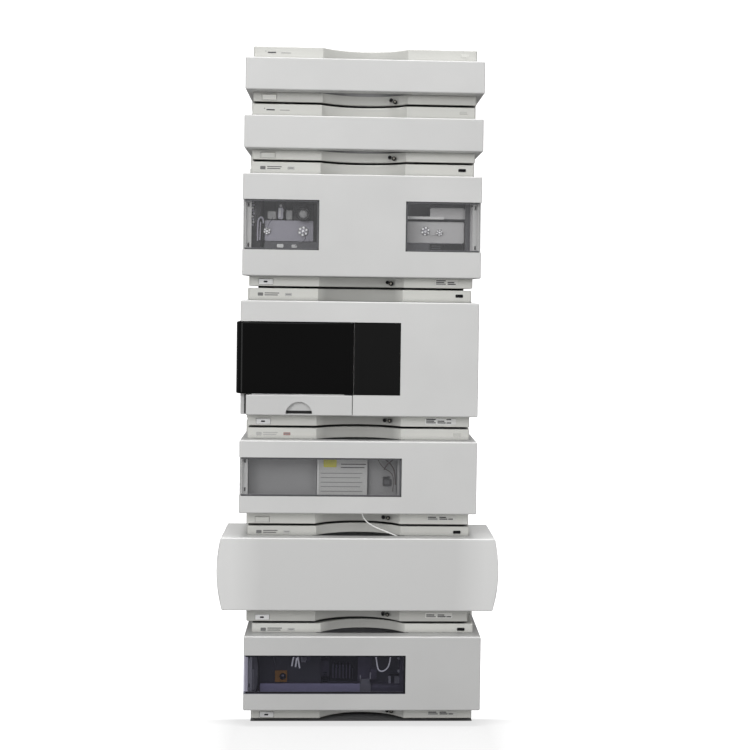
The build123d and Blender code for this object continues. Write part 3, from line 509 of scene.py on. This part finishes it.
for name in WHITE_BUTTONS:
    p = PLACE[name]
    plate(f"{name}_button_dot", p, BUTTON_X - DOT_LEFT,
          BUTTON_X + DOT_RIGHT, BUTTON_Z - DOT_HALF, BUTTON_Z + DOT_HALF,
          p.strip - BUTTON_OUT - 0.15, 0.4, "mark", f"{name}_power", 1.2)
for name in DARK_LAMPS:
    p = PLACE[name]
    z = p.high - LAMP_DROP
    plate(f"{name}_lamp", p, LAMP_X - LAMP_W / 2, LAMP_X + LAMP_W / 2,
          z - LAMP_H / 2, z + LAMP_H / 2, p.strip - LAMP_OUT - 0.2, 0.5,
          "lamp", "stack", 1.2)


# ---- transfer tube ----
TUBE_LOW = [            # x, d, z in the column oven's frame
    (120.0, 48.0, 73.0), (133.0, 48.0, 73.0), (143.0, 44.0, 84.0),
    (134.0, 39.0, 99.0), (108.0, 34.0, 109.0), (78.0, 30.0, 116.0),
    (56.0, 28.2, 126.5), (41.0, 30.0, 132.5), (25.0, 36.0, 137.5),
]
# x from the oven's middle, d and z in the detector's frame
TUBE_HIGH = [(10.0, 40.0, 2.0), (4.0, 44.0, 14.0), (4.0, 44.0, 30.0)]
TUBE_R = 0.9


def smooth_tube(name, points, radius, material):
    """A smooth round tube along a few control points, in metres."""
    curve = bpy.data.curves.new(name, "CURVE")
    curve.dimensions = "3D"
    curve.bevel_depth = radius * MM
    curve.bevel_resolution = 3
    curve.use_fill_caps = True
    curve.resolution_u = 8
    spline = curve.splines.new("NURBS")
    spline.points.add(len(points) - 1)
    for point, place in zip(spline.points, points):
        point.co = (*place, 1.0)
    spline.order_u = 3
    spline.use_endpoint_u = True
    curve.materials.append(M[material])
    piece = bpy.data.objects.new(name, curve)
    bpy.context.collection.objects.link(piece)
    return piece


def dress_tube():
    """The white transfer tube from the column oven to the detector."""
    oven, above = PLACE["oven"], PLACE["detector_a"]
    points = [oven.at(x, d, z) for x, d, z in TUBE_LOW]
    points += [Vector((oven.mid + x * MM, above.front + d * MM,
                       above.floor + z * MM)) for x, d, z in TUBE_HIGH]
    piece = smooth_tube("transfer_line", points, TUBE_R, "tube")
    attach(piece, "stack")
    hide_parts("transfer_tube")


# ---- camera place, used to line up what shows through the windows ----
CAMERA_SENSOR = 36.0
CAMERA_FAR = 50.0       # metres
CAMERA_PLACE = (-23.3, -2217.5, 635.5)
CAMERA_TURN = (88.566, -0.785, -2.615)      # degrees
CAMERA_LENS = 66.38
CAMERA_SHIFT = (-0.0450, -0.0659)
EYE = Vector(CAMERA_PLACE) * MM


def seen(place, x, z, d):
    """Where a thing stands, d behind the face, that is seen through the
    cover's face at x and z. Gives x and z in the instrument's frame."""
    face = place.at(x, 0, z)
    reach = (face.y + d * MM - EYE.y) / (face.y - EYE.y)
    spot = EYE + (face - EYE) * reach
    return (spot.x - place.mid) / MM, (spot.z - place.floor) / MM


def works_plate(name, place, x0, x1, z0, z1, d, thick, material,
                radius=1.0, body="stack"):
    """A rounded plate lined up with what the window shows."""
    ax, az = seen(place, x0, z0, d)
    bx, bz = seen(place, x1, z1, d)
    return plate(name, place, ax, bx, az, bz, d, thick, material, body,
                 radius)


def turned(name, place, x, z, d, profile, material, body="stack",
           steps=36, through=True):
    """A turned piece on an axis that runs front to back. Each step of
    the profile is a radius and how far it stands in front of d. With
    through, x and z say where a window shows it."""
    cx, cz = seen(place, x, z, d) if through else (x, z)
    mesh = bmesh.new()
    rings = []
    for radius, out in profile:
        ring = []
        for i in range(steps):
            a = 2 * math.pi * i / steps
            ring.append(mesh.verts.new(place.at(
                cx + radius * math.cos(a), d - out,
                cz + radius * math.sin(a))))
        rings.append(ring)
    for one, two in zip(rings, rings[1:]):
        for i in range(steps):
            j = (i + 1) % steps
            mesh.faces.new((one[i], one[j], two[j], two[i]))
    mesh.faces.new(rings[0])
    mesh.faces.new(rings[-1])
    bmesh.ops.recalc_face_normals(mesh, faces=mesh.faces)
    return keep(name, mesh, material, body)


def works_tube(name, place, points, radius, material, body="stack"):
    """A tube through points given as x, z, d seen through the window."""
    route = []
    for x, z, d in points:
        px, pz = seen(place, x, z, d)
        route.append(place.at(px, d, pz))
    piece = smooth_tube(name, route, radius, material)
    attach(piece, body)
    return piece


def union(name, place, x, z, d, radius):
    """A round valve: dark ring, dished cap and a ring of bolts."""
    turned(name, place, x, z, d,
           [(radius, 0), (radius, 1.6), (radius * 0.9, 2.2),
            (radius * 0.55, 2.2), (radius * 0.5, 1.2)], "grey")
    turned(f"{name}_cap", place, x, z, d - 2,
           [(radius * 0.34, 0), (radius * 0.34, 2.0),
            (radius * 0.2, 2.8), (radius * 0.12, 1.6)], "loop")
    bolts = 6
    for i in range(bolts):
        a = 2 * math.pi * i / bolts + 0.4
        turned(f"{name}_bolt_{i}", place, x + radius * 0.72 * math.cos(a),
               z + radius * 0.72 * math.sin(a), d - 2.2,
               [(radius * 0.22, 0), (radius * 0.22, 1.2),
                (radius * 0.12, 1.8)], "loop", steps=10)


# ---- dark frames of painted shade round the windows ----
SOFT_SHADE = 2.7              # width of the soft painted shade
SOFT_SHADE_BACK = 2.3         # its front behind the cover's face
LINE_BACK = 2.1         # the dark line's front behind the cover's face
WINDOW_SHADE_THICK = 0.15
PUMP_WIN = (52.4, 124.8)        # low and high edge of the pump's panes
DET_WIN = (43.8, 100.2)         # the same for the detectors' panes
WIN_IN = 62.5           # inner edge of the pump's panes
DET_RIGHT = 63.0        # right edge of the detectors' panes
WALL_IN = 169.4         # where a pane turns round the corner


def window_shade(name, place, x0, x1, z0, z1, body, line=1.1, soft_shade="dim"):
    """Frame in the back of a pane that hides its ledge and paints the shade
    line round the window's inside edge: a dark outer line and a softer band of
    painted shade. It is left open where the pane wraps round the corner."""
    skip = "left" if x0 < -150 else "right"
    for part, wide, d, material in (("soft_shade", SOFT_SHADE, SOFT_SHADE_BACK, soft_shade),
                                    ("line", line, LINE_BACK, "black")):
        bars = {"top": (x0, x1, z1 - wide, z1 - 0.2),
                "low": (x0, x1, z0 + 0.2, z0 + wide),
                "left": (x0 + 0.2, x0 + wide, z0, z1),
                "right": (x1 - wide, x1 - 0.2, z0, z1)}
        for side, (a, b, low, high) in bars.items():
            if side != skip:
                plate(f"{name}_{part}_{side}", place, a, b, low, high, d,
                      WINDOW_SHADE_THICK, material, body, 0.1)


def dress_window_shades():
    p = PLACE["pump"]
    window_shade("pump_window_shade_l", p, -WALL_IN, -WIN_IN, *PUMP_WIN, "pump_front")
    window_shade("pump_window_shade_r", p, WIN_IN, WALL_IN, *PUMP_WIN, "pump_front")
    window_shade("detector_a_gasket", PLACE["detector_a"], -WALL_IN, DET_RIGHT,
           *DET_WIN, "detector_a_front")
    window_shade("detector_b_gasket", PLACE["detector_b"], -WALL_IN, DET_RIGHT,
           *DET_WIN, "detector_b_front", 2.4, "black")


# ---- the works of the pump ----
KNOB_X = -85.4          # as seen through the cover's face
KNOB_Z = 104.0
KNOB_BACK = 28.6        # knob's face behind the cover's face
PLATE_BACK = 39.0       # plates' faces behind the cover's face


def dress_pump():
    p = PLACE["pump"]
    # left window
    works_plate("pump_side_dark", p, -162.6, -146.5, 53, 124, 33, 3,
                "dark", 1)
    works_plate("pump_valve_back", p, -152, -142.2, 64, 99, 36, 3, "black",
                2)
    works_tube("pump_valve_bow", p, [(-150.6, 65, 28), (-150.8, 88, 28),
                                     (-149.4, 97, 27), (-145.4, 99, 27),
                                     (-142.6, 96, 28), (-142.6, 90, 29)],
               1.3, "lilac")
    works_tube("pump_valve_core", p, [(-147.4, 66, 28), (-146.6, 92, 28)],
               0.9, "lilac")
    works_plate("pump_valve_side", p, -158.5, -153.0, 92, 110, 31, 1.5,
                "dim", 1)
    for i in range(9):
        z = 120 - i * 4.1
        turned(f"pump_bead_{i}", p, -157.6 + 0.7 * math.sin(i * 2.1), z,
               31, [(1.7, 0), (1.7, 1.2), (1.0, 2.0)],
               "white" if i in (2, 5, 7) else "lilac", steps=14)
    works_plate("pump_plate_left", p, -140.5, -71, 65, 94.5, PLATE_BACK, 2,
                "lilac", 2)
    works_plate("pump_block_a", p, -136.5, -124.5, 96.5, 107.5, PLATE_BACK, 3,
                "grey", 1)
    works_plate("pump_damper", p, -121.8, -114.4, 96.5, 113, PLATE_BACK - 3,
                4, "lilac", 2.6)
    works_plate("pump_damper_lit", p, -120.2, -118.0, 99, 112,
                PLATE_BACK - 3.4, 0.6, "pale", 1)
    turned("pump_damper_cap", p, -118, 115.5, PLATE_BACK - 2,
           [(1.8, 0), (1.8, 3), (1.0, 4)], "pale", steps=16)
    turned("pump_knob_ring", p, KNOB_X, KNOB_Z, KNOB_BACK,
           [(10.2, 0), (10.2, 1.2), (9.2, 1.8), (6.8, 1.8), (6.6, 1.0)],
           "black", "purge_knob", 48)
    turned("pump_knob_face", p, KNOB_X, KNOB_Z, KNOB_BACK - 1.0,
           [(6.2, 0), (6.0, 0.8), (4.4, 2.2), (1.6, 2.6)], "grey",
           "purge_knob", 40)
    works_plate("pump_block_b", p, -110, -101.5, 96, 109, PLATE_BACK, 3,
                "grey", 1)
    works_plate("pump_slot", p, -72.4, -71.3, 95.5, 105.5, PLATE_BACK - 4, 2,
                "black", 0.4)
    union("pump_union_a", p, -85.5, 79.3, PLATE_BACK, 7.4)
    union("pump_union_b", p, -137.3, 79.0, PLATE_BACK - 1.2, 5.2)
    works_plate("pump_base_dark", p, -141, -63.5, 53, 64, 30, 2, "dim", 1)
    works_plate("pump_fitting_a", p, -123, -113.5, 55.5, 60.5, 28, 2,
                "white", 1.6)
    works_plate("pump_fitting_b", p, -102, -94, 55.5, 60, 28, 2,
                "pale", 1.6)
    works_tube("pump_line_b", p, [(-137.5, 79, 33), (-136, 88, 30),
                                  (-131, 94, 30), (-129, 99, 34)], 0.4,
               "dim")
    works_tube("pump_line_c", p, [(-85.5, 79, 32), (-79, 70, 30),
                                  (-90, 61, 28), (-97, 58, 27)], 0.4,
               "dim")
    # right window
    works_plate("pump_plate_right", p, 65, 147, 65.5, 96, PLATE_BACK, 2,
                "pale", 2)
    works_plate("pump_box", p, 97.5, 148.5, 99.5, 116, PLATE_BACK - 1, 3,
                "pale", 3)
    works_plate("pump_shelf_edge", p, 64.5, 118, 99.6, 103.4, PLATE_BACK - 8,
                6, "white", 1)
    works_plate("pump_shelf_gap", p, 64.5, 147, 96.4, 98.6, PLATE_BACK - 3, 2,
                "black", 0.5)
    works_plate("pump_side_shade", p, 148.5, 155.5, 53, 122, 33, 2, "dim",
                0.5)
    works_plate("pump_side_light", p, 156, 161, 53, 118, 30, 2, "pale",
                0.5)
    works_plate("pump_drop_dark", p, 97.8, 117.3, 53, 64.4, 27, 4,
                "black", 0.8)
    for i in range(2):
        works_plate(f"pump_drop_rule_{i}", p, 100, 113, 57 + i * 3.6,
                    57.8 + i * 3.6, 26.4, 0.6, "dim", 0.3)
    works_plate("pump_base_right", p, 64, 97, 53, 65, 31, 2, "dim", 0.5)
    union("pump_union_c", p, 91, 82.3, PLATE_BACK, 6.6)
    union("pump_union_d", p, 111.3, 80.4, PLATE_BACK - 1.2, 4.9)
    works_tube("pump_line_d", p, [(91, 82, 32), (97, 76, 30),
                                  (104, 75, 30), (111.5, 80, 33)], 0.4,
               "grey")
    for side in (-1, 1):
        x = side * 167.9
        for j, z in enumerate((60, 118)):
            works_plate(f"pump_rib_slot_{side + 1}_{j}", p, x - 1, x + 1,
                        z - 3.4, z + 3.4, 19.0, 0.4, "dark", 0.8,
                        "pump_front")


# ---- the works of the detectors ----
CARD_BACK = 31.4        # print on the card behind the cover's face


def dress_detector_a():
    p = PLACE["detector_a"]
    works_plate("lamp_cover", p, -158.5, -60.5, 43.6, 100.2, 44.0, 2,
                "grey", 1)
    works_plate("lamp_cover_edge", p, -59.6, -57.3, 45, 99.5, 30.0, 3,
                "white", 0.6)
    works_plate("lamp_cover_gap", p, -161.0, -158.6, 44, 100, 36, 2,
                "dark", 0.3)
    for j, (z0, z1) in enumerate(((48, 62), (86, 99.5))):
        works_plate(f"lamp_cover_slot_{j}", p, -160.6, -159.2, z0, z1, 40,
                    2, "dark", 0.5)
    works_plate("card_field", p, -50.5, -31.5, 86.8, 98.6, CARD_BACK, 0.5,
                "yellow", 1.2)
    for j, z in enumerate((91.2, 86.5)):
        works_plate(f"card_rule_{j}", p, -25.4, 11.0 - j * 2, z - 0.7,
                    z + 0.7, CARD_BACK, 0.5, "print", 0.4)
    for j, z in enumerate((78.0, 71.7, 64.9, 58.6, 51.8)):
        works_plate(f"card_line_{j}", p, -54.5, 6 - 3 * (j % 2), z - 0.55,
                    z + 0.55, CARD_BACK, 0.5, "print_faint", 0.4)
    works_plate("cell_block", p, 15, 55, 44, 100, 44, 3, "grey", 3)
    works_plate("cell_square", p, 35.6, 47.8, 60, 70.5, 41, 3, "dark", 1)
    works_plate("cell_square_face", p, 38.0, 45.6, 62.6, 68.4, 40, 1,
                "dim", 0.8)
    works_tube("cell_line_a", p, [(38, 99, 38), (44, 95, 34), (50, 88, 34),
                                  (53.5, 78, 36), (54, 62, 38)], 0.8,
               "strand")
    works_tube("cell_line_b", p, [(52, 99.5, 38), (46, 95, 33),
                                  (40, 90, 34), (37.5, 84, 40)], 0.9,
               "strand")
    works_tube("cell_line_c", p, [(28, 99, 38), (33, 88, 36), (48, 80, 35),
                                  (52, 70, 37), (50, 52, 38)], 0.5,
               "strand")
    works_plate("cell_frame", p, 56.2, 62.8, 43.6, 100.2, 26, 3, "grey",
                0.6)
    works_plate("cell_frame_line", p, 57.6, 58.8, 44.5, 99.5, 25.2, 0.8,
                "pale", 0.4)


def dress_detector_b():
    p = PLACE["detector_b"]
    works_plate("house_face", p, -150, -60, 58, 100.2, 54.5, 1, "dim", 1)
    works_plate("side_curve", p, -165.8, -151.5, 44, 99, 34, 3, "grey", 5)
    works_plate("side_curve_light", p, -160, -156.5, 50, 80, 33, 1,
                "pale", 1.6)
    works_tube("side_seam", p, [(-151.8, 99, 33), (-150.6, 88, 32),
                                (-149.6, 74, 32), (-150.4, 60, 32),
                                (-153.6, 46, 33)], 0.9, "black")
    works_plate("shelf_face", p, -148, 10, 44.5, 59.2, 38.0, 1.6, "shelf",
                1)
    works_plate("ochre_plate", p, -126.7, -109.2, 61.7, 78.4, 50, 2,
                "ochre", 1)
    turned("ochre_disc", p, -115.4, 70.2, 50,
           [(4.7, 0), (4.7, 2), (3.6, 3), (2.4, 2.6)], "black")
    works_plate("ochre_disc_face", p, -117.2, -113.2, 69.6, 72.4, 46.6,
                0.5, "lilac", 1.2)
    loops = (((-99.6, 99, 46), (-101.6, 92, 40), (-102.4, 85, 42)),
             ((-95.4, 96, 46), (-96.4, 90, 40), (-97.0, 84, 42)),
             ((-94.0, 99, 46), (-92.6, 92, 40), (-91.2, 82, 42)))
    for j, route in enumerate(loops):
        works_tube(f"loop_{j}", p, list(route), 1.15, "loop")
    for j in range(5):
        works_tube(f"ribbed_{j}", p, [(-88.4 + j * 2.0, 98.6, 44),
                                      (-88.8 + j * 1.7, 94, 42),
                                      (-88.0 + j * 1.2, 90.5, 44)], 0.5,
                   "pale")
    works_tube("thin_line", p, [(-129, 98, 48), (-127.5, 92, 46),
                                (-126, 86, 48)], 0.35, "lilac")
    for j in range(6):
        z = 61.5 + j * 2.7
        works_plate(f"vent_{j}", p, -57, -51, z, z + 1.2, 50, 1, "black",
                    0.4)
    works_plate("sink_block", p, -48, -6, 60, 98, 60, 2, "dark", 1)
    for j in range(7):
        x = -40 + j * 4.2
        works_plate(f"sink_fin_{j}", p, x, x + 1.2, 66, 82, 52, 6, "dim",
                    0.4)
    works_plate("bracket", p, -3.4, 12.6, 46, 66, 36.5, 1.6, "grey", 0.6)
    works_plate("prong_a", p, -3.6, -2.0, 60, 71.5, 36.5, 1.6, "pale", 0.5)
    works_plate("prong_b", p, 10.8, 12.6, 60, 75.5, 36.5, 1.6, "pale", 0.5)
    works_tube("u_line", p, [(19.4, 99.5, 40), (20.6, 92, 38),
                             (22.6, 80, 36), (27.6, 76.6, 36),
                             (35.4, 80, 36), (39.6, 88, 38),
                             (40.8, 99.5, 40)], 1.0, "loop")
    works_plate("cell_back", p, 14, 62, 45, 100, 56, 2, "dim", 1)
    works_plate("post_a", p, 38, 41.6, 50, 70, 48, 2, "pale", 0.8)
    works_plate("post_b", p, 46.8, 54, 48, 70, 48, 2, "grey", 1.2)
    works_plate("lintel", p, 39.6, 56.4, 71.2, 73.4, 46, 2, "black", 0.5)
    for j, z in enumerate((78, 96.5)):
        turned(f"post_screw_{j}", p, 53, z, 48,
               [(2.2, 0), (2.2, 1.6), (1.4, 2.2), (0.8, 1.4)], "white",
               steps=18)
    works_tube("right_edge", p, [(59.6, 99, 30), (59.4, 88, 30),
                                 (59.0, 78, 30)], 0.6, "grey")
    # The left strip glows with painted light along the window's left edge.
    plate("left_strip", p, -171.4, -166.4, 46.6, 97.6, 4.3, 0.6,
          "lit_strip", "detector_b_front", 0.4)


# ---- second drain fitting in each recess ----
DRAIN_BACK = 16.2       # fitting's foot behind the strip's face
DRAINS = {              # x and z of its middle, radius
    "degasser_top": (43.9, 4.4, 2.8), "degasser_low": (44.4, 5.6, 3.0),
    "pump": (43.4, 5.8, 3.3), "sampler": (45.6, 7.4, 2.8),
    "detector_a": (45.2, 7.2, 2.7), "oven": (44.4, 7.4, 2.4),
    "detector_b": (44.0, 7.2, 2.3),
}


def dress_drains():
    for name, (x, z, radius) in DRAINS.items():
        p = PLACE[name]
        d = p.strip + DRAIN_BACK
        turned(f"{name}_drain_ring", p, x, z, d,
               [(radius, 0), (radius, 7), (radius * 0.8, 7.8),
                (radius * 0.62, 7.8), (radius * 0.62, 6.4)], "drain",
               steps=24, through=False)
        # The pale core, set up and to the left of the ring's middle, is a
        # painted highlight.
        turned(f"{name}_drain_painted_highlight", p, x - radius * 0.15,
               z + radius * 0.1, d - 6.3,
               [(radius * 0.55, 0), (radius * 0.42, 0.9),
                (radius * 0.1, 1.2)], "drain_highlight", steps=16,
               through=False)


# ---- the sampler's finger recess and gaps ----
MOON_X = -87.0          # middle of the finger recess
MOON_DEEP = 7.0         # its floor behind the cover's face
RAIL = (-163.6, -10.2, 17.6, 46.8)      # left, right, low, high


def dress_sampler():
    p = PLACE["sampler"]
    plate("moon_slot", p, MOON_X - 18.4, MOON_X + 18.4, RAIL[2] + 2.1,
          RAIL[2] + 6.2, MOON_DEEP - 1.0, 0.9, "black", "sampler_door", 0.4)
    plate("rail_shade_left", p, RAIL[0] - 3.2, RAIL[0] - 0.6,
          RAIL[2] + 1.5, RAIL[3], 12.0, 1.0, "black", "sampler_front", 0.2)
    plate("rail_shade_right", p, RAIL[1] + 0.3, RAIL[1] + 1.8,
          RAIL[2] + 1.5, RAIL[3] - 0.5, 3.4, 0.6, "black",
          "sampler_front", 0.2)


# ---- plain fields where an instrument carries its plates ----
FIELD_OUT = 0.25        # fields' faces ahead of the strip's
NAME_ROWS = ((21, 7.8), (19, 10.6))     # length, drop below the top
FIELDS = {              # left, right, low, high
    "pump": (107.7, 141.7, 3.9, 12.9), "sampler": (97.4, 143.0, 3.9, 12.2),
    "detector_a": (102, 144, 5.9, 13.7), "oven": (100, 140, 5.2, 13.2),
    "detector_b": (97, 141.6, 4.7, 11.4),
}
ROW_STEP = 2.5          # from one row of rules on a field to the next
LOW_FIELD = 8.2         # a field lower than this has two rows, not three
RULES = ((1.6, 14), (18.4, 12), (31.5, 7))      # start and length


def dress_names():
    """The marks at the left end of each top strip."""
    for name in MODULES:
        p = PLACE[name]
        top = p.high
        d = p.strip - FIELD_OUT
        if name in ("degasser_top", "degasser_low"):
            plate(f"{name}_name_a", p, -142.5, -130.5, top - 9.6,
                  top - 7.8, d, 0.4, "print", "stack", 0.6)
            plate(f"{name}_name_b", p, -123, -109, top - 9.4, top - 8.6, d,
                  0.4, "print_faint", "stack", 0.3)
            plate(f"{name}_name_c", p, -146, -144.6, top - 7.6, top - 6.2,
                  d, 0.4, "print_faint", "stack", 0.5)
        else:
            red = name == "detector_a"
            tone = "print_pale" if red else "print_soft"
            plate(f"{name}_name_a", p, -149.6, -142.0, top - 11.2,
                  top - 6.6, d, 0.4, tone, "stack", 0.6)
            for j, (w, z) in enumerate(NAME_ROWS):
                plate(f"{name}_name_b_{j}", p, -139.6, -139.6 + w,
                      top - z, top - z + 1.3, d, 0.4, tone, "stack", 0.3)
            plate(f"{name}_name_c", p, -110, -100, top - 11.0, top - 6.8,
                  d, 0.4, "print_red" if red else "print_pale", "stack",
                  0.8)
            plate(f"{name}_name_e", p, -108.6, -101.4, top - 9.6,
                  top - 8.2, d - 0.1, 0.3, "print_faint", "stack", 0.4)


def dress_fields():
    """The pale field at the lower right of a strip, with its rules."""
    for name, (x0, x1, z0, z1) in FIELDS.items():
        p = PLACE[name]
        d = p.strip - FIELD_OUT
        tone = "plate" if name == "sampler" else "field"
        plate(f"{name}_field", p, x0, x1, z0, z1, d, 0.4, tone,
              "stack", 1.0)
        rows = [z0 + 1.4 + i * ROW_STEP for i in range(3)]
        for j, z in enumerate(rows[:2] if z1 - z0 < LOW_FIELD else rows):
            for k, (u, w) in enumerate(RULES):
                end = min(x0 + u + w - (j % 2) * 2, x1 - 1.2)
                if (j + k) % 4 == 3 or end < x0 + u + 2:
                    continue
                plate(f"{name}_field_rule_{j}_{k}", p, x0 + u, end, z,
                      z + 1.6, d - 0.1, 0.3,
                      "print" if (j + k) % 3 else "print_soft",
                      "stack", 0.4)


# ---- stage ----
FLOOR_HALF = 6.0
FLOOR_LOW = (0.22, 0.22, 0.22, 1)
FLOOR_HIGH = (0.24, 0.24, 0.24, 1)
GLOW_BEHIND = 1.2       # glow beside and behind the stack
GLOW_FRONT = 0.66       # glow close in front of it
GLOW_AHEAD = 0.80       # glow well in front of it
GLOW_BESIDE = 0.30      # added to the left and right of it
AHEAD = 0.75            # metres in front of the middle
BEHIND_RUN = (-0.01, 0.02)      # metres past the front where glow sets in
BESIDE_RUN = (0.01, 0.10)       # the same past the stack's two sides
UNDER_SIDE = 0.009      # metres of glow under the edge of each side
FRONT_EDGE = 0.001      # metres by which the glow in front reaches under
SURROUND = 0.38         # strength of the even light all round
WHITE = 1.3             # strength at which the surround shows as white


def floor_glow(n):
    """Strength of the floor's glow, seen only by the camera: none under the
    stack, where the floor's real shadow shows alone, lowered in front of it,
    which paints a soft shade there over the real shadow, raised a little to
    either side, and white elsewhere."""
    low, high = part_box("detector_b_housing")
    front = low[1]
    split = n.add("ShaderNodeSeparateXYZ")
    n.link(n.coords.outputs["Object"], split.inputs[0])
    ahead = n.span(split.outputs["Y"], -AHEAD, front, GLOW_AHEAD,
                   GLOW_FRONT)
    behind = n.span(split.outputs["Y"], front + BEHIND_RUN[0],
                    front + BEHIND_RUN[1], 0, GLOW_BEHIND)
    across = n.maths("ABSOLUTE", n.shift(split.outputs["X"],
                                         -(low[0] + high[0]) / 2))
    half = (high[0] - low[0]) / 2
    beside = n.span(across, half + BESIDE_RUN[0], half + BESIDE_RUN[1], 0,
                    GLOW_BESIDE)
    total = n.maths("ADD", n.maths("MAXIMUM", ahead, behind), beside)
    outside = n.maths("GREATER_THAN", across, half - UNDER_SIDE)
    before = n.maths("LESS_THAN", split.outputs["Y"], front + FRONT_EDGE)
    after = n.maths("GREATER_THAN", split.outputs["Y"], high[1])
    clear_of = n.maths("MAXIMUM", outside, n.maths("MAXIMUM", before,
                                                   after))
    return n.maths("MULTIPLY", total, clear_of)


def build_stage():
    """Plain white floor that fades into a white surround."""
    mesh = bmesh.new()
    corners = [(-FLOOR_HALF, -FLOOR_HALF), (FLOOR_HALF, -FLOOR_HALF),
               (FLOOR_HALF, FLOOR_HALF), (-FLOOR_HALF, FLOOR_HALF)]
    mesh.faces.new([mesh.verts.new((x, y, 0)) for x, y in corners])
    data = bpy.data.meshes.new("floor")
    mesh.to_mesh(data)
    mesh.free()
    floor = bpy.data.objects.new("floor", data)
    bpy.context.collection.objects.link(floor)
    n = Nodes("floor_white")
    shader = n.principled(0.9, specular=0.0)
    tone = n.ramp(n.noise(2.0), FLOOR_LOW, FLOOR_HIGH)
    n.link(tone, shader.inputs["Base Color"])
    glow = n.add("ShaderNodeEmission")
    glow.inputs["Color"].default_value = (1, 1, 1, 1)
    n.link(floor_glow(n), glow.inputs["Strength"])
    both = n.add("ShaderNodeAddShader")
    n.link(shader.outputs["BSDF"], both.inputs[0])
    n.link(glow.outputs["Emission"], both.inputs[1])
    path = n.add("ShaderNodeLightPath")
    mix = n.add("ShaderNodeMixShader")
    n.link(path.outputs["Is Camera Ray"], mix.inputs["Fac"])
    n.link(shader.outputs["BSDF"], mix.inputs[1])
    n.link(both.outputs["Shader"], mix.inputs[2])
    n.link(mix.outputs["Shader"], n.output.inputs["Surface"])
    data.materials.append(n.material)


def build_world(strength):
    """Even surround light; the camera sees it as plain white."""
    world = bpy.data.worlds.new("surround")
    bpy.context.scene.world = world
    world.use_nodes = True
    tree = world.node_tree
    tree.nodes.clear()
    path = tree.nodes.new("ShaderNodeLightPath")
    soft = tree.nodes.new("ShaderNodeBackground")
    soft.inputs["Color"].default_value = (1, 1, 1, 1)
    soft.inputs["Strength"].default_value = strength
    ground = tree.nodes.new("ShaderNodeBackground")
    ground.inputs["Color"].default_value = (1, 1, 1, 1)
    ground.inputs["Strength"].default_value = WHITE
    mix = tree.nodes.new("ShaderNodeMixShader")
    out = tree.nodes.new("ShaderNodeOutputWorld")
    tree.links.new(path.outputs["Is Camera Ray"], mix.inputs["Fac"])
    tree.links.new(soft.outputs["Background"], mix.inputs[1])
    tree.links.new(ground.outputs["Background"], mix.inputs[2])
    tree.links.new(mix.outputs["Shader"], out.inputs["Surface"])


def area_light(name, place, target, size, power):
    data = bpy.data.lights.new(name, "AREA")
    data.shape = "RECTANGLE"
    data.size, data.size_y = size
    data.energy = power
    lamp = bpy.data.objects.new(name, data)
    lamp.location = place
    aim = Vector(target) - Vector(place)
    lamp.rotation_euler = aim.to_track_quat("-Z", "Y").to_euler()
    bpy.context.collection.objects.link(lamp)


build_stage()
build_world(SURROUND)
area_light("key_front", (-0.75, -2.3, 1.50), (0, 0, 0.55), (1.4, 1.0), 16.5)
area_light("top_light", (0.0, -1.3, 2.7), (0, -0.1, 0.6), (1.4, 0.7), 9)
area_light("steep_light", (0, -0.5, 3.5), (0, -0.25, 0), (1.6, 0.3), 54)
area_light("fill_left", (-1.7, -2.6, 0.75), (0, 0, 0.5), (1.0, 1.2), 10)
area_light("fill_right", (1.7, -2.6, 0.75), (0, 0, 0.5), (1.0, 1.2), 11.5)

dress_tube()
dress_window_shades()
dress_drains()
dress_sampler()
dress_pump()
dress_detector_a()
dress_detector_b()
dress_names()
dress_fields()

# ---- camera ----
camera_data = bpy.data.cameras.new("camera")
camera_data.sensor_width = CAMERA_SENSOR
camera_data.lens = CAMERA_LENS
camera_data.shift_x, camera_data.shift_y = CAMERA_SHIFT
camera_data.clip_end = CAMERA_FAR
camera = bpy.data.objects.new("camera", camera_data)
camera.location = [v * MM for v in CAMERA_PLACE]
camera.rotation_euler = [math.radians(v) for v in CAMERA_TURN]
bpy.context.collection.objects.link(camera)
bpy.context.scene.camera = camera
bpy.context.scene.view_settings.view_transform = "Standard"
